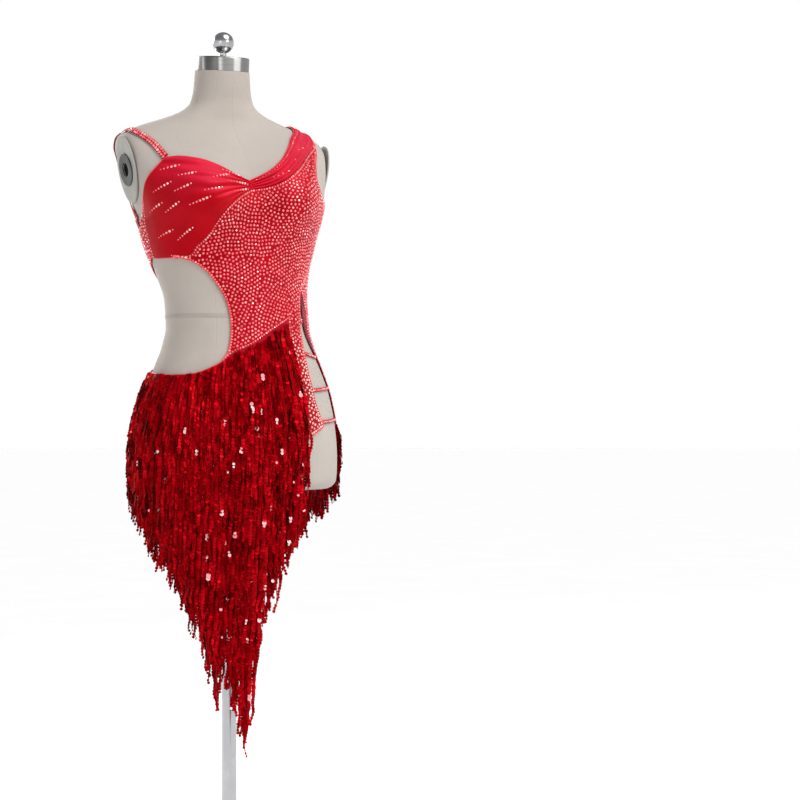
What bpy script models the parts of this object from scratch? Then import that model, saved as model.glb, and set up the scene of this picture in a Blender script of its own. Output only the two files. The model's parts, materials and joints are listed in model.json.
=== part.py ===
"""Salsa dance dress on the limbless dress form that it rests on, with its pole and base.

Frame: metres, +Z up. The form faces -Y, the wearer's left is +X, and Z = 0 is the floor
under the middle of the pole. Tables hold millimetres and degrees.

A place on the form's skin is (turn, rise). Turn is 0 at the centre front, 90 at the
wearer's left side, 180 at the centre back and 270 (or -90) at the right side. Rise is
counted up from the waist. Cloth is laid out in these terms and then lifted off the skin.
"""

import math
from collections import namedtuple

import bmesh
import bpy
import numpy as np
from mathutils import Matrix, Vector
from mathutils.geometry import delaunay_2d_cdt

MM = 0.001

# ---------------------------------------------------------------- driving dimensions, mm
WAIST_HEIGHT = 1040.0
SKIN_GAP = 1.8  # from the skin to the inside of the cloth
CLOTH_WALL = 1.2
SEAM_GAP = 0.8  # between two cloth pieces that meet edge to edge
EDGE_STEP = 15.0  # between points along a cloth edge
MEAN_DEGREE = 2.3  # length of one degree of turn on an average section

BASE_RADIUS = 200.0
BASE_HEIGHT = 14.0
BOSS_RADIUS, BOSS_TOP = 26.0, 42.0
POLE_RADIUS = 13.0
COLLAR_RADIUS, COLLAR_HEIGHT = 22.0, 20.0
FLANGE_RADIUS, FLANGE_HEIGHT = 55.0, 6.0
REST_GAP = 0.4  # between hard pieces that rest on each other
EDGE_ROUND = 3.0  # bevel on the rims of turned pieces
CAP_SEGMENTS, ARM_SEGMENTS, BALL_SEGMENTS, BASE_SEGMENTS = 32, 28, 20, 48
BALL_STEPS = 9

CAP_RADIUS, CAP_HEIGHT = 45.5, 23.5
BALL_RADIUS, STEM_RADIUS, STEM_HEIGHT = 18.2, 6.0, 6.5

PLATE_DEPTH, PLATE_HEIGHT, PLATE_WALL = 76.0, 114.0, 2.6
PLATE_RISE, PLATE_BACK = 245.5, 20.0
RING_RADIUS, RING_WALL = 27.5, 1.6
SOCKET_RADIUS, SOCKET_SUNK = 12.0, 2.5

STRAP_WIDTH, WAIST_STRAP_WIDTH, HIP_STRAP_WIDTH = 12.0, 8.0, 6.0
CUP_PLEATS, CUP_PLEAT_HEIGHT, CUP_ROWS = 6, 1.6, 12
BAND_CREASES, BAND_CREASE_HEIGHT, BAND_ROWS = 4, 1.7, 8

FRINGE_START = SKIN_GAP + CLOTH_WALL + 1.2  # inside of the lowest fringe strip
LOCK_WALL = 1.6
LAYER_STEP = 2.9  # from one tier of fringe to the tier over it
TAPE_HEIGHT = 7.0
HANG_RISE = -255.0  # below this the locks hang free
HANG_DRAW = 0.001  # share of its distance from the middle plane that a free lock loses for each mm
LOCK_TOP_SHARE, LOCK_TAPER = 0.9, 0.55  # share of its tape that a lock fills, and how much it loses
LOCK_BEND_CLEAR = 8.0  # a lock has no bend this close to its root or its tip
LOCK_BEND_APART = 50.0  # bends closer than this are left out
WAVE_FROM = 160.0  # full-length locks shorter than this keep an even hem

SHARP_ANGLE = 40.0  # edges sharper than this stay sharp when a piece is shaded smooth
FINE_STEP = 2.0  # between points where an edge is only measured
CURVE_SHARES = 12  # stretches into which a curve is cut between two of its control points

# ---------------------------------------------------------------- form
# `middle` is how far a section lies to the wearer's left.
Section = namedtuple("Section", "rise middle half_width front back squareness")
FORM_SECTIONS = [
    Section(-290, 10, 162, -113, 98, 2.15),
    Section(-286, 10, 170, -121, 106, 2.15),
    Section(-276, 11, 175, -127, 111, 2.15),
    Section(-240, 11, 177, -131, 114, 2.10),
    Section(-180, 10, 172, -134, 110, 2.05),
    Section(-130, 8, 162, -131, 97, 2.00),
    Section(-85, 6, 145, -126, 81, 2.00),
    Section(-50, 5, 131, -120, 71, 2.00),
    Section(-15, 4, 123, -115, 67, 2.00),
    Section(25, 3, 123, -110, 70, 2.00),
    Section(70, 0, 132, -105, 80, 2.00),
    Section(120, -1, 147, -101, 94, 2.03),
    Section(170, -1, 161, -97, 107, 2.08),
    Section(215, 0, 175, -86, 116, 2.18),
    Section(255, 0, 186, -68, 121, 2.34),
    Section(283, 0, 189, -48, 120, 2.50),
    Section(300, 0, 184, -32, 114, 2.40),
    Section(312, 0, 169, -22, 107, 2.25),
    Section(324, 0, 142, -15, 98, 2.10),
    Section(336, 0, 106, -12, 90, 2.00),
    Section(349, 0, 74, -12, 83, 2.00),
    Section(364, 0, 56, -12, 78, 2.00),
    Section(385, 0, 50, -14, 76, 2.00),
    Section(424, 0, 46, -17, 76, 2.00),
]
FORM_TURNS = np.concatenate([np.arange(-60.0, 60.0, 6.0), np.arange(60.0, 300.0, 10.0)])
FORM_RISES = [
    -290, -286, -276, -252, -222, -192, -162, -132, -102, -74, -46, -18, 10, 38, 66, 94,
    120, 142, 162, 180, 198, 217, 238, 258, 274, 288, 300, 311, 322, 334, 348, 366, 392, 420.5,
]
# One side of the bust: its middle, how far it stands out, and how it dies away.
BUST_ACROSS, BUST_RISE, BUST_OUT = 86.0, 196.0, 44.0
BUST_WIDE, BUST_ABOVE, BUST_BELOW, BUST_TURN = 45.0, 58.0, 36.0, 3.0
# The flat, leaning cut where an arm would start.
ARM_CUT, ARM_CUT_RISE, ARM_LEAN = 183.0, 290.0, 0.20
ARM_CUT_LOW, ARM_CUT_FLARE, ARM_EASE = 165.0, 1.5, 4.0  # below ARM_CUT_LOW the cut runs out of the form
# The top of the neck leans forward from this rise.
NECK_RISE, NECK_TOP, NECK_LEAN, NECK_MIDDLE = 364.0, 420.5, 0.09, 29.5

# ---------------------------------------------------------------- cloth edges: (turn, rise)
CUP_TOP = [(-2, 222), (-10, 233), (-19, 245), (-27, 255), (-36, 261), (-43, 260)]
CUP_ARMHOLE = [(-43, 260), (-52, 243), (-62, 226), (-70, 209), (-76, 192)]
CUP_SIDE_SEAM = [(-76, 192), (-79, 168), (-81, 136), (-84, 97)]
CUP_HEM = [(-84, 97), (-72, 96.5), (-61, 96.5)]
CUP_SEAM = [
    (-61, 96.5), (-45, 101), (-40, 113), (-31, 132), (-25, 158), (-18, 180), (-10, 196), (-2, 208),
]

BAND_TOP = [
    (-2, 222), (6, 233), (12, 244), (19, 263), (26, 287), (34, 306), (50, 320), (70, 329), (90, 331),
]
BAND_LOW = [(-2, 208), (7, 212), (14, 219), (20, 230), (28, 251), (38, 278), (52, 302)]
BAND_OUTER = [(52, 302), (60, 310), (75, 318), (90, 321)]

LEFT_ARMHOLE_FRONT = [(52, 302), (47, 288), (42, 258), (41, 231), (46, 212), (58, 196), (74, 184)]
LEFT_SIDE_SEAM = [(74, 184), (72, 140), (67, 100), (58, 70), (48, 48)]
LADDER_FRONT = [
    (48, 48), (45.5, 20), (43.5, -6), (42, -38), (39.5, -66), (37.5, -92), (36.8, -121), (37.2, -148),
    (41.5, -184),
]
LEG_LINE_STRIP = [(41.5, -184), (32, -196), (22.7, -207)]
STRIP_EDGE = [(22.7, -207), (23.5, -150), (25.4, -98), (26.2, -47), (28.5, -5)]
FRINGE_TOP_FRONT = [(28.5, -5), (9, -27), (-6, -48), (-19, -61), (-28, -76)]
CUTOUT_FRONT = [
    (-28, -76), (-24, -56), (-22.5, -16), (-24, 17), (-29, 47), (-35, 71), (-43, 86), (-51, 93.5),
    (-61, 96.5),
]
CUTOUT_LOW_FRONT = [(-92, -94.5), (-78, -97.5), (-63, -98), (-47, -96), (-36, -87), (-28, -76)]
RIGHT_SIDE_LOW = [(-92, -190), (-92, -140), (-92, -94.5)]
BRIEF_LEG_FRONT = [(22.7, -207), (17.5, -232), (14, -270)]
BRIEF_LEG_RIGHT = [(-14, -270), (-25, -245), (-45, -218), (-70, -197), (-92, -190)]

SHOULDER_SEAM = [(90, 321), (90, 331)]
BACK_OPENING = [
    (90, 331), (110, 327), (126, 316), (134, 304), (140, 278), (140, 243), (139, 209), (139, 174),
    (142, 140), (148, 105), (157, 69), (169, 41), (183, 21),
]
BACK_OPENING_RIGHT = [
    (183, 21), (199, 30), (217, 46), (235, 75), (247, 104), (257, 131), (262, 146),
]
BACK_BAND_END = [(262, 146), (264, 118), (266, 92)]
CUTOUT_BACK = [
    (266, 92), (252, 81), (235, 56), (223, 35), (214, 14), (210, -11), (210, -37), (214, -57), (218, -67),
]
FRINGE_TOP_BACK = [
    (218, -67), (205, -65), (194, -55), (181, -42), (167, -28), (153, -10), (138, 5), (124, 11), (116, -30),
    (110, -75), (103, -108), (94, -145), (84, -187),
]
LEG_LINE_BACK = [(84, -187), (78, -184), (71, -179)]
LADDER_BACK = [
    (71, -179), (70, -148), (69, -121), (67, -92), (61, -66), (53, -38), (49, -6), (47.8, 20), (48, 48),
]
LEFT_ARMHOLE_BACK = [
    (74, 184), (92, 180), (104, 190), (112, 210), (118, 230), (125, 254), (128, 279), (127, 298),
    (108, 315), (90, 321),
]
SIDE_BAND_TOP = [(262, 146), (268, 148), (274, 165), (280, 182), (284, 192)]
SIDE_BAND_HEM = [(266, 92), (271, 97), (276, 97)]

CUTOUT_LOW_BACK = [(218, -67), (224, -77), (232, -84), (243, -90), (256, -93.5), (268, -94.5)]
RIGHT_SIDE_BACK = [(268, -94.5), (268, -140), (268, -190)]
BRIEF_LEG_BACK_RIGHT = [(268, -190), (250, -208), (225, -240), (198, -270)]
BRIEF_LEG_BACK_LEFT = [(162, -270), (140, -248), (112, -215), (84, -187)]

RIGHT_STRAP_PATH = [
    (-43.8, 260.4), (-46, 280), (-50, 292), (-59, 304), (-78, 312), (-98, 310), (-112, 301),
    (-121, 281), (-122, 262), (-120.5, 243), (-117, 219), (-111, 195), (-101.5, 168), (-95.2, 149.8),
]
# `short` is how far each strap stops from the edge of the panels that it joins.
HipStrap = namedtuple("HipStrap", "front_rise back_rise width short")
HIP_STRAPS = [
    HipStrap(-8, -6, WAIST_STRAP_WIDTH, 0.80),
    HipStrap(-62, -68, HIP_STRAP_WIDTH, 0.95),
    HipStrap(-124, -119, HIP_STRAP_WIDTH, 0.50),
    HipStrap(-177, -172, HIP_STRAP_WIDTH, 0.30),
]

# ---------------------------------------------------------------- fringe
# Top line, lowest sewing line and hem of the fringe, each as (turn, rise).
Fringe = namedtuple("Fringe", "top low hem tiers")
Tier = namedtuple("Tier", "drop reach first last locks")
FRONT_FRINGE = Fringe(
    top=[
        (-92, -97), (-63, -101), (-47, -99), (-36, -90), (-28, -79), (-19, -64), (-6, -51), (9, -30),
        (28, -9),
    ],
    low=[(-92, -190), (-70, -199), (-45, -220), (-18, -268), (5, -268), (24, -214)],
    hem=[
        (-92, -300), (-78, -342), (-62, -390), (-46, -450), (-38, -494), (-30, -535), (-23, -590),
        (-14, -640), (-9, -690), (-5, -752), (-2, -704), (-1, -630), (2, -556), (6, -504), (12, -438),
        (19, -390), (28, -342),
    ],
    tiers=[
        Tier(0.07, 0.50, -91.6, 26.5, 13),
        Tier(0.32, 0.66, -91.6, 25.0, 14),
        Tier(0.60, 0.83, -91.6, 23.5, 13),
        Tier(0.90, 1.00, -91.6, 22.2, 14),
    ],
)
BACK_FRINGE = Fringe(
    top=[
        (84, -187), (94, -149), (103, -112), (110, -79), (116, -34), (124, 7), (138, 1), (153, -14),
        (167, -32), (181, -46), (194, -59), (205, -71), (218, -77), (232, -88), (256, -98), (268, -98),
    ],
    low=[
        (84, -200), (112, -219), (140, -248), (162, -268), (198, -268), (225, -240), (250, -208),
        (268, -190),
    ],
    hem=[
        (84, -312), (92, -318), (98, -324), (107, -336), (116, -358), (125, -386), (134, -424),
        (143, -448), (152, -488), (161, -540), (168, -600), (175, -668), (180, -676), (185, -640),
        (191, -560), (198, -508), (206, -468), (215, -432), (224, -398), (233, -368), (251, -328),
        (268, -302),
    ],
    tiers=[
        Tier(0.07, 0.50, 117.0, 267.6, 17),
        Tier(0.32, 0.66, 109.0, 267.6, 18),
        Tier(0.60, 0.83, 99.0, 267.6, 18),
        Tier(0.90, 1.00, 86.0, 267.6, 20),
    ],
)
LOCK_WAVE = (0.0, 16.0, 5.0, 22.0, 9.0)  # shortens neighbouring locks by turns, mm

# ---------------------------------------------------------------- materials
Look = namedtuple("Look", "colour metallic roughness")
LOOKS = {
    "form_cover": Look((0.56, 0.50, 0.45), 0.0, 0.8),
    "brushed_steel": Look((0.60, 0.58, 0.56), 1.0, 0.35),
    "chrome": Look((0.75, 0.75, 0.75), 1.0, 0.1),
    "dark_steel": Look((0.16, 0.16, 0.16), 1.0, 0.4),
    "black_plastic": Look((0.01, 0.01, 0.01), 0.0, 0.6),
    "painted_steel": Look((0.05, 0.05, 0.05), 0.3, 0.4),
    "red_lycra": Look((0.62, 0.005, 0.02), 0.0, 0.45),
    "stoned_lycra": Look((0.75, 0.06, 0.08), 0.0, 0.35),
    "red_fringe": Look((0.40, 0.002, 0.01), 0.2, 0.3),
}


def clear_scene():
    for obj in list(bpy.data.objects):
        bpy.data.objects.remove(obj)


def material(look_name):
    found = bpy.data.materials.get(look_name)
    if found:
        return found
    look = LOOKS[look_name]
    made = bpy.data.materials.new(look_name)
    made.use_nodes = True
    shader = made.node_tree.nodes["Principled BSDF"]
    shader.inputs["Base Color"].default_value = (*look.colour, 1.0)
    shader.inputs["Metallic"].default_value = look.metallic
    shader.inputs["Roughness"].default_value = look.roughness
    return made


def solid(name, points, faces, look_name, place=Matrix.Identity(4)):
    """One closed body from points in millimetres, with its faces turned out, set at `place`."""
    mesh = bpy.data.meshes.new(name)
    corners = [tuple(MM * float(c) for c in p) for p in points]
    mesh.from_pydata(corners, [], [tuple(map(int, f)) for f in faces])
    work = bmesh.new()
    work.from_mesh(mesh)
    bmesh.ops.recalc_face_normals(work, faces=work.faces)
    work.to_mesh(mesh)
    work.free()
    mesh.shade_smooth()
    mesh.set_sharp_from_angle(angle=math.radians(SHARP_ANGLE))
    mesh.materials.append(material(look_name))
    obj = bpy.data.objects.new(name, mesh)
    obj.matrix_world = place
    bpy.context.scene.collection.objects.link(obj)
    return obj


# ---------------------------------------------------------------- the form's skin
def eased(knots, values, x):
    """A smooth curve through the knots that never overshoots them."""
    knots, values = np.asarray(knots, float), np.asarray(values, float)
    step = np.diff(knots)
    slope = np.diff(values) / step
    tangent = np.zeros_like(values)
    tangent[0], tangent[-1] = slope[0], slope[-1]
    before, after = 2 * step[1:] + step[:-1], step[1:] + 2 * step[:-1]
    same_way = slope[:-1] * slope[1:] > 0
    safe = np.where(same_way, slope[:-1] * slope[1:], 1.0)
    blend = (before + after) * safe / (before * slope[1:] + after * slope[:-1] + ~same_way)
    tangent[1:-1] = np.where(same_way, blend, 0.0)
    x = np.clip(np.asarray(x, float), knots[0], knots[-1])
    k = np.clip(np.searchsorted(knots, x) - 1, 0, len(step) - 1)
    s, h = (x - knots[k]) / step[k], step[k]
    return (
        (1 + 2 * s) * (1 - s) ** 2 * values[k]
        + s * (1 - s) ** 2 * h * tangent[k]
        + s * s * (3 - 2 * s) * values[k + 1]
        + s * s * (s - 1) * h * tangent[k + 1]
    )


SECTION_RISES = [s.rise for s in FORM_SECTIONS]


def skin(turn, rise):
    """Points of the form's skin, in millimetres."""
    turn, rise = np.broadcast_arrays(np.asarray(turn, float), np.asarray(rise, float))
    middle, half_width, front, back, power = (
        eased(SECTION_RISES, [s[i] for s in FORM_SECTIONS], rise) for i in range(1, 6)
    )
    sine, cosine = np.sin(np.radians(turn)), np.cos(np.radians(turn))
    reach = (np.abs(sine) ** power + np.abs(cosine) ** power) ** (-1 / power)
    x = middle + half_width * reach * sine
    y = (front + back) / 2 - (back - front) / 2 * reach * cosine
    tall = np.where(rise > BUST_RISE, BUST_ABOVE, BUST_BELOW)
    for side in (-1, 1):
        away = ((x - side * BUST_ACROSS) / BUST_WIDE) ** 2 + ((rise - BUST_RISE) / tall) ** 2
        y = y - BUST_OUT * np.exp(-away / 2) * np.clip(BUST_TURN * cosine, 0, 1)
    cut = ARM_CUT - ARM_LEAN * (ARM_CUT_RISE - rise) + ARM_CUT_FLARE * np.clip(ARM_CUT_LOW - rise, 0, None)
    over = np.clip((np.abs(x) - cut) / ARM_EASE, -40, 40)
    x = np.sign(x) * (np.abs(x) - ARM_EASE * np.log1p(np.exp(over)))
    lean = NECK_LEAN * np.clip((rise - NECK_RISE) / (NECK_TOP - NECK_RISE), 0, 1)
    return np.stack([x, y, WAIST_HEIGHT + rise + lean * (y - NECK_MIDDLE)], axis=-1)


def lifted(turn, rise, lift):
    """Points lifted square off the skin by `lift` millimetres."""
    turn, rise = np.asarray(turn, float), np.asarray(rise, float)
    across = skin(turn + 0.5, rise) - skin(turn - 0.5, rise)
    up = skin(turn, rise + 0.5) - skin(turn, rise - 0.5)
    normal = np.cross(across, up)
    normal /= np.linalg.norm(normal, axis=-1, keepdims=True)
    return skin(turn, rise) + np.asarray(lift, float)[..., None] * normal


def degree_length(turn, rise):
    """Length of one degree of turn on the skin, in millimetres."""
    return float(np.linalg.norm(skin(turn + 0.5, rise) - skin(turn - 0.5, rise)))


# ---------------------------------------------------------------- laying cloth out flat
RISE_SAMPLES = np.arange(-290.0, 420.0, 2.0)
SIDE_LENGTH = np.concatenate(
    [[0.0], np.cumsum(np.linalg.norm(np.diff(skin(90.0, RISE_SAMPLES), axis=0), axis=1))]
)


def flat(places):
    """(turn, rise) laid out in millimetres, the rise by length along the side of the form."""
    turn, rise = np.asarray(places, float).T
    return np.stack([MEAN_DEGREE * turn, np.interp(rise, RISE_SAMPLES, SIDE_LENGTH)], axis=1)


def unflat(points):
    across, up = np.asarray(points, float).T
    return np.stack([across / MEAN_DEGREE, np.interp(up, SIDE_LENGTH, RISE_SAMPLES)], axis=1)


def curve_between(a, b, c, d, s):
    """The stretch from b to c of a smooth curve through four points, at shares s of the way."""
    bend = (2 * a - 5 * b + 4 * c - d) * s**2 + (3 * b - a - 3 * c + d) * s**3
    return (2 * b + (c - a) * s + bend) / 2


def evenly(run, count=None, step=EDGE_STEP):
    """A run of flat points as (turn, rise) places: `count` of them, or one about every `step`."""
    length = np.concatenate([[0.0], np.cumsum(np.linalg.norm(np.diff(run, axis=0), axis=1))])
    count = count or max(1, round(length[-1] / step)) + 1
    at = np.linspace(0, length[-1], count)
    return unflat(np.stack([np.interp(at, length, run[:, i]) for i in (0, 1)], axis=1))


def drawn(edge, step=EDGE_STEP):
    """A smooth edge through its control points, as evenly spaced (turn, rise) places."""
    knots = flat(edge)
    if len(knots) > 2:
        ends = np.vstack([2 * knots[0] - knots[1], knots, 2 * knots[-1] - knots[-2]])
        shares = np.linspace(0, 1, CURVE_SHARES, endpoint=False)[:, None]
        fours = zip(ends, ends[1:], ends[2:], ends[3:])
        knots = np.vstack([curve_between(*four, shares) for four in fours] + [knots[-1:]])
    return evenly(knots, step=step)


def outline(*edges):
    """A closed outline from edges that follow each other. '-' before an edge runs it backwards."""
    places, backwards = [], False
    for edge in edges:
        if isinstance(edge, str):
            backwards = True
            continue
        run = drawn(edge)
        places.extend((run[::-1] if backwards else run)[:-1])
        backwards = False
    return np.array(places)


def shifted(edge, turn):
    return [(t + turn, r) for t, r in edge]


def inset(loop, distance):
    """A closed loop of flat points moved inwards."""
    ahead, behind = np.roll(loop, -1, axis=0) - loop, loop - np.roll(loop, 1, axis=0)
    normals = []
    for run in (ahead, behind):
        run = run / np.maximum(np.linalg.norm(run, axis=1, keepdims=True), 1e-9)
        normals.append(np.stack([-run[:, 1], run[:, 0]], axis=1))
    x, y = loop.T
    turned = 1 if np.sum(x * np.roll(y, -1) - np.roll(x, -1) * y) > 0 else -1
    middle = normals[0] + normals[1]
    middle /= np.maximum(np.sum(middle * normals[0], axis=1, keepdims=True), 0.5)
    return loop + turned * distance * middle


def within(point, loop):
    x, y = point
    ahead = np.roll(loop, -1, axis=0)
    crosses = (loop[:, 1] > y) != (ahead[:, 1] > y)
    with np.errstate(divide="ignore", invalid="ignore"):
        at = loop[:, 0] + (y - loop[:, 1]) * (ahead[:, 0] - loop[:, 0]) / (ahead[:, 1] - loop[:, 1])
    return bool(np.count_nonzero(crosses & (x < at)) % 2)


def edge_distance(point, loop):
    along = np.roll(loop, -1, axis=0) - loop
    s = np.clip(np.sum((point - loop) * along, axis=1) / np.sum(along * along, axis=1), 0, 1)
    return np.min(np.linalg.norm(loop + s[:, None] * along - point, axis=1))


# ---------------------------------------------------------------- cloth pieces
def sheet(name, places, triangles, borders, inner, outer, look_name):
    """Two lifted copies of a triangulated piece, joined round its borders."""
    turn, rise = np.asarray(places, float).T
    count = len(turn)
    points = np.vstack([lifted(turn, rise, outer), lifted(turn, rise, inner)])
    faces = [tuple(t) for t in triangles]
    faces += [tuple(count + i for i in reversed(t)) for t in triangles]
    faces += [(b, a, count + a, count + b) for a, b in borders]
    return solid(name, points, faces, look_name)


def panel(name, places, look_name):
    """A smooth piece of cloth inside an outline, with the form's own grid inside it."""
    loop = inset(flat(places), SEAM_GAP / 2)
    nodes = []
    for turn in sorted({*FORM_TURNS, *(FORM_TURNS - 360), *(FORM_TURNS + 360)}):
        for rise in FORM_RISES:
            node = flat([(turn, rise)])[0]
            if within(node, loop) and edge_distance(node, loop) > 0.4 * EDGE_STEP:
                nodes.append(node)
    ring = [Vector(p) for p in loop]
    made = delaunay_2d_cdt(ring + [Vector(p) for p in nodes], [], [list(range(len(ring)))], 1, 1e-5)
    points, triangles = unflat([tuple(p) for p in made[0]]), made[2]
    sides = {(t[i], t[(i + 1) % 3]) for t in triangles for i in range(3)}
    borders = [side for side in sides if side[::-1] not in sides]
    lift = np.full(len(points), SKIN_GAP)
    return sheet(name, points, triangles, borders, lift, lift + CLOTH_WALL, look_name)


def patch(name, top, bottom, rows, look_name, relief, end=None):
    """Cloth between two edges with as many points each, raised by relief(along, down).

    `end`, where it is given, is the curved edge that joins the far ends of the two.
    """
    top, bottom = flat(top), flat(bottom)
    columns = len(top)
    u, v = np.meshgrid(np.linspace(0, 1, columns), np.linspace(0, 1, rows + 1))
    grid = (1 - v[..., None]) * top + v[..., None] * bottom
    if end is not None:
        bent = flat(even(end, rows + 1)) - grid[:, -1]
        grid = grid + u[..., None] * bent[:, None]
    order = np.arange(grid.shape[0] * columns).reshape(-1, columns)
    ring = np.concatenate([order[0], order[1:, -1], order[-1, -2::-1], order[-2:0:-1, 0]])
    places = grid.reshape(-1, 2)
    places[ring] = inset(places[ring], SEAM_GAP / 2)
    quads = [
        (order[i, j], order[i + 1, j], order[i + 1, j + 1], order[i, j + 1])
        for i in range(rows)
        for j in range(columns - 1)
    ]
    borders = list(zip(np.roll(ring, -1), ring))
    inner = np.full(len(places), SKIN_GAP)
    outer = inner + CLOTH_WALL + relief(u.ravel(), v.ravel())
    return sheet(name, unflat(places), quads, borders, inner, outer, look_name)


def ribbon(name, path, width, look_name, step=EDGE_STEP):
    """A narrow strap of even width along a path on the skin."""
    places = drawn(path, step)
    centre = skin(places[:, 0], places[:, 1])
    out = lifted(places[:, 0], places[:, 1], np.ones(len(places))) - centre
    along = np.gradient(centre, axis=0)
    across = np.cross(along, out)
    across /= np.linalg.norm(across, axis=1, keepdims=True)
    low, high = SKIN_GAP, SKIN_GAP + CLOTH_WALL
    corners = [
        centre + side * width / 2 * across + lift * out
        for side, lift in ((-1, low), (1, low), (1, high), (-1, high))
    ]
    return tube(name, np.stack(corners, axis=1), look_name)


def tube(name, rings, look_name):
    """A closed body through rings of points, capped at both ends."""
    count, around = rings.shape[:2]
    order = np.arange(count * around).reshape(count, around)
    faces = [order[0], order[-1]]
    for low, high in zip(order, order[1:]):
        faces.extend(zip(low, np.roll(low, -1), np.roll(high, -1), high))
    return solid(name, rings.reshape(-1, 3), faces, look_name)


# ---------------------------------------------------------------- fringe
def fringe_line(fringe, drop, turn):
    top = eased(*zip(*fringe.top), turn)
    low = eased(*zip(*fringe.low), turn)
    return top + drop * (low - top)


def stations(fringe, turn):
    """The rises at which every layer bends at this turn, from the top line down."""
    lines = [float(fringe_line(fringe, tier.drop, turn)) for tier in fringe.tiers]
    bends = [lines[0]] + [line + TAPE_HEIGHT + 2 for line in lines[1:]] + [HANG_RISE]
    return [bends[0]] + [r for a, b in zip(bends, bends[1:]) for r in ((a + b) / 2, b)]


def lock_point(fringe, tier_index, turn, rise, out):
    """A point on a lock: its layer climbs over each tier that it passes, then it hangs free."""
    line = float(fringe_line(fringe, fringe.tiers[tier_index].drop, turn))
    bends = stations(fringe, turn)[2 * tier_index:]
    heights = [line] + bends[1:]
    climbs = [LAYER_STEP * i / 2 for i in range(len(heights))]
    climb = np.interp(-rise, [-h for h in heights], climbs)
    on_skin = max(rise, min(HANG_RISE, line))
    point = lifted(turn, on_skin, FRINGE_START + climb + out)
    point[2] -= on_skin - rise
    point[1] *= 1 - HANG_DRAW * (on_skin - rise)
    return point


def comb(name, fringe, tier_index, look_name):
    """One tier: a sewn-on tape with locks that hang from its lower edge."""
    tier = fringe.tiers[tier_index]
    turns = np.linspace(tier.first, tier.last, tier.locks + 1)
    points, faces = [], []

    def ring_at(turn_a, turn_b, rise_a, rise_b):
        start = len(points)
        ends = [(turn_a, rise_a), (turn_b, rise_b)]
        points.extend(lock_point(fringe, tier_index, *end, 0) for end in ends)
        points.extend(lock_point(fringe, tier_index, *end, LOCK_WALL) for end in reversed(ends))
        return list(range(start, start + 4))

    tape = []
    for turn in turns:
        line = float(fringe_line(fringe, tier.drop, turn))
        start = len(points)
        for out in (0, LOCK_WALL):
            points.append(lifted(turn, line + TAPE_HEIGHT, FRINGE_START + out))
            points.append(lock_point(fringe, tier_index, turn, line, out))
        tape.append(range(start, start + 4))  # inner top, inner low, outer top, outer low
    for a, b in zip(tape, tape[1:]):
        faces += [(a[0], b[0], b[1], a[1]), (a[3], b[3], b[2], a[2]), (a[2], b[2], b[0], a[0])]
    for end in (tape[0], tape[-1]):
        faces.append((end[0], end[1], end[3], end[2]))

    for i, (a, b) in enumerate(zip(tape, tape[1:])):
        turn_a, turn_b = turns[i], turns[i + 1]
        middle, half = (turn_a + turn_b) / 2, (turn_b - turn_a) / 2
        line = float(fringe_line(fringe, tier.drop, middle))
        hem = float(np.interp(middle, *zip(*fringe.hem)))
        waves = tier.reach < 1 or line - hem > WAVE_FROM
        end = line + tier.reach * (hem - line) + LOCK_WAVE[i % len(LOCK_WAVE)] * waves
        first = 2 * tier_index
        bends = [line] + stations(fringe, middle)[first + 1:]
        lowest, highest = end + LOCK_BEND_CLEAR, line - LOCK_BEND_CLEAR
        kept = [n for n in range(1, len(bends)) if lowest < bends[n] < highest]
        kept = [n for n in kept if n % 2 == 0 or bends[n - 1] - bends[n + 1] > LOCK_BEND_APART]
        last = [a[1], b[1], b[3], a[3]]
        for n in [*kept, None]:
            stop = end if n is None else bends[n]
            narrow = half * (LOCK_TOP_SHARE - LOCK_TAPER * (line - stop) / (line - end))
            sides = (middle - narrow, middle + narrow)
            pair = [end if n is None else stations(fringe, turn)[first + n] for turn in sides]
            ring = ring_at(*sides, *pair)
            faces += [(last[j], last[(j + 1) % 4], ring[(j + 1) % 4], ring[j]) for j in range(4)]
            last = ring
        faces.append(tuple(last))
    return solid(name, points, faces, look_name)


# ---------------------------------------------------------------- hard pieces
def revolve(name, profile, look_name, place=Matrix.Identity(4), segments=CAP_SEGMENTS):
    """A body of revolution about Z from (radius, height) points that start and end on the axis."""
    points, rings = [], []
    for radius, height in profile:
        if radius == 0:
            rings.append([len(points)] * segments)
            points.append((0.0, 0.0, height))
            continue
        rings.append(list(range(len(points), len(points) + segments)))
        for k in range(segments):
            angle = 2 * math.pi * k / segments
            points.append((radius * math.cos(angle), radius * math.sin(angle), height))
    faces = []
    for low, high in zip(rings, rings[1:]):
        for k in range(segments):
            corners = [low[k], low[(k + 1) % segments], high[(k + 1) % segments], high[k]]
            faces.append(tuple(dict.fromkeys(corners)))
    return solid(name, points, faces, look_name, place)


def oval_ring(name, half_depth, half_height, hole, wall, place, look_name):
    """A flat plate with an oval rim and a round hole, its back on the local XY plane."""
    points, faces = [], []
    for a, b in ((hole, hole), (half_depth, half_height)):
        for height in (0.0, wall):
            for k in range(ARM_SEGMENTS):
                angle = 2 * math.pi * k / ARM_SEGMENTS
                points.append((a * math.cos(angle), b * math.sin(angle), height))
    hole_low, hole_high, rim_low, rim_high = (i * ARM_SEGMENTS for i in range(4))
    for k in range(ARM_SEGMENTS):
        n = (k + 1) % ARM_SEGMENTS
        loops = (hole_low, rim_low, rim_high, hole_high)
        for p, q in zip(loops, loops[1:] + loops[:1]):
            faces.append((p + k, p + n, q + n, q + k))
    return solid(name, points, faces, look_name, place)


def raised(height, back=0.0):
    return Matrix.Translation(MM * Vector((0.0, back, height)))


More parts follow.
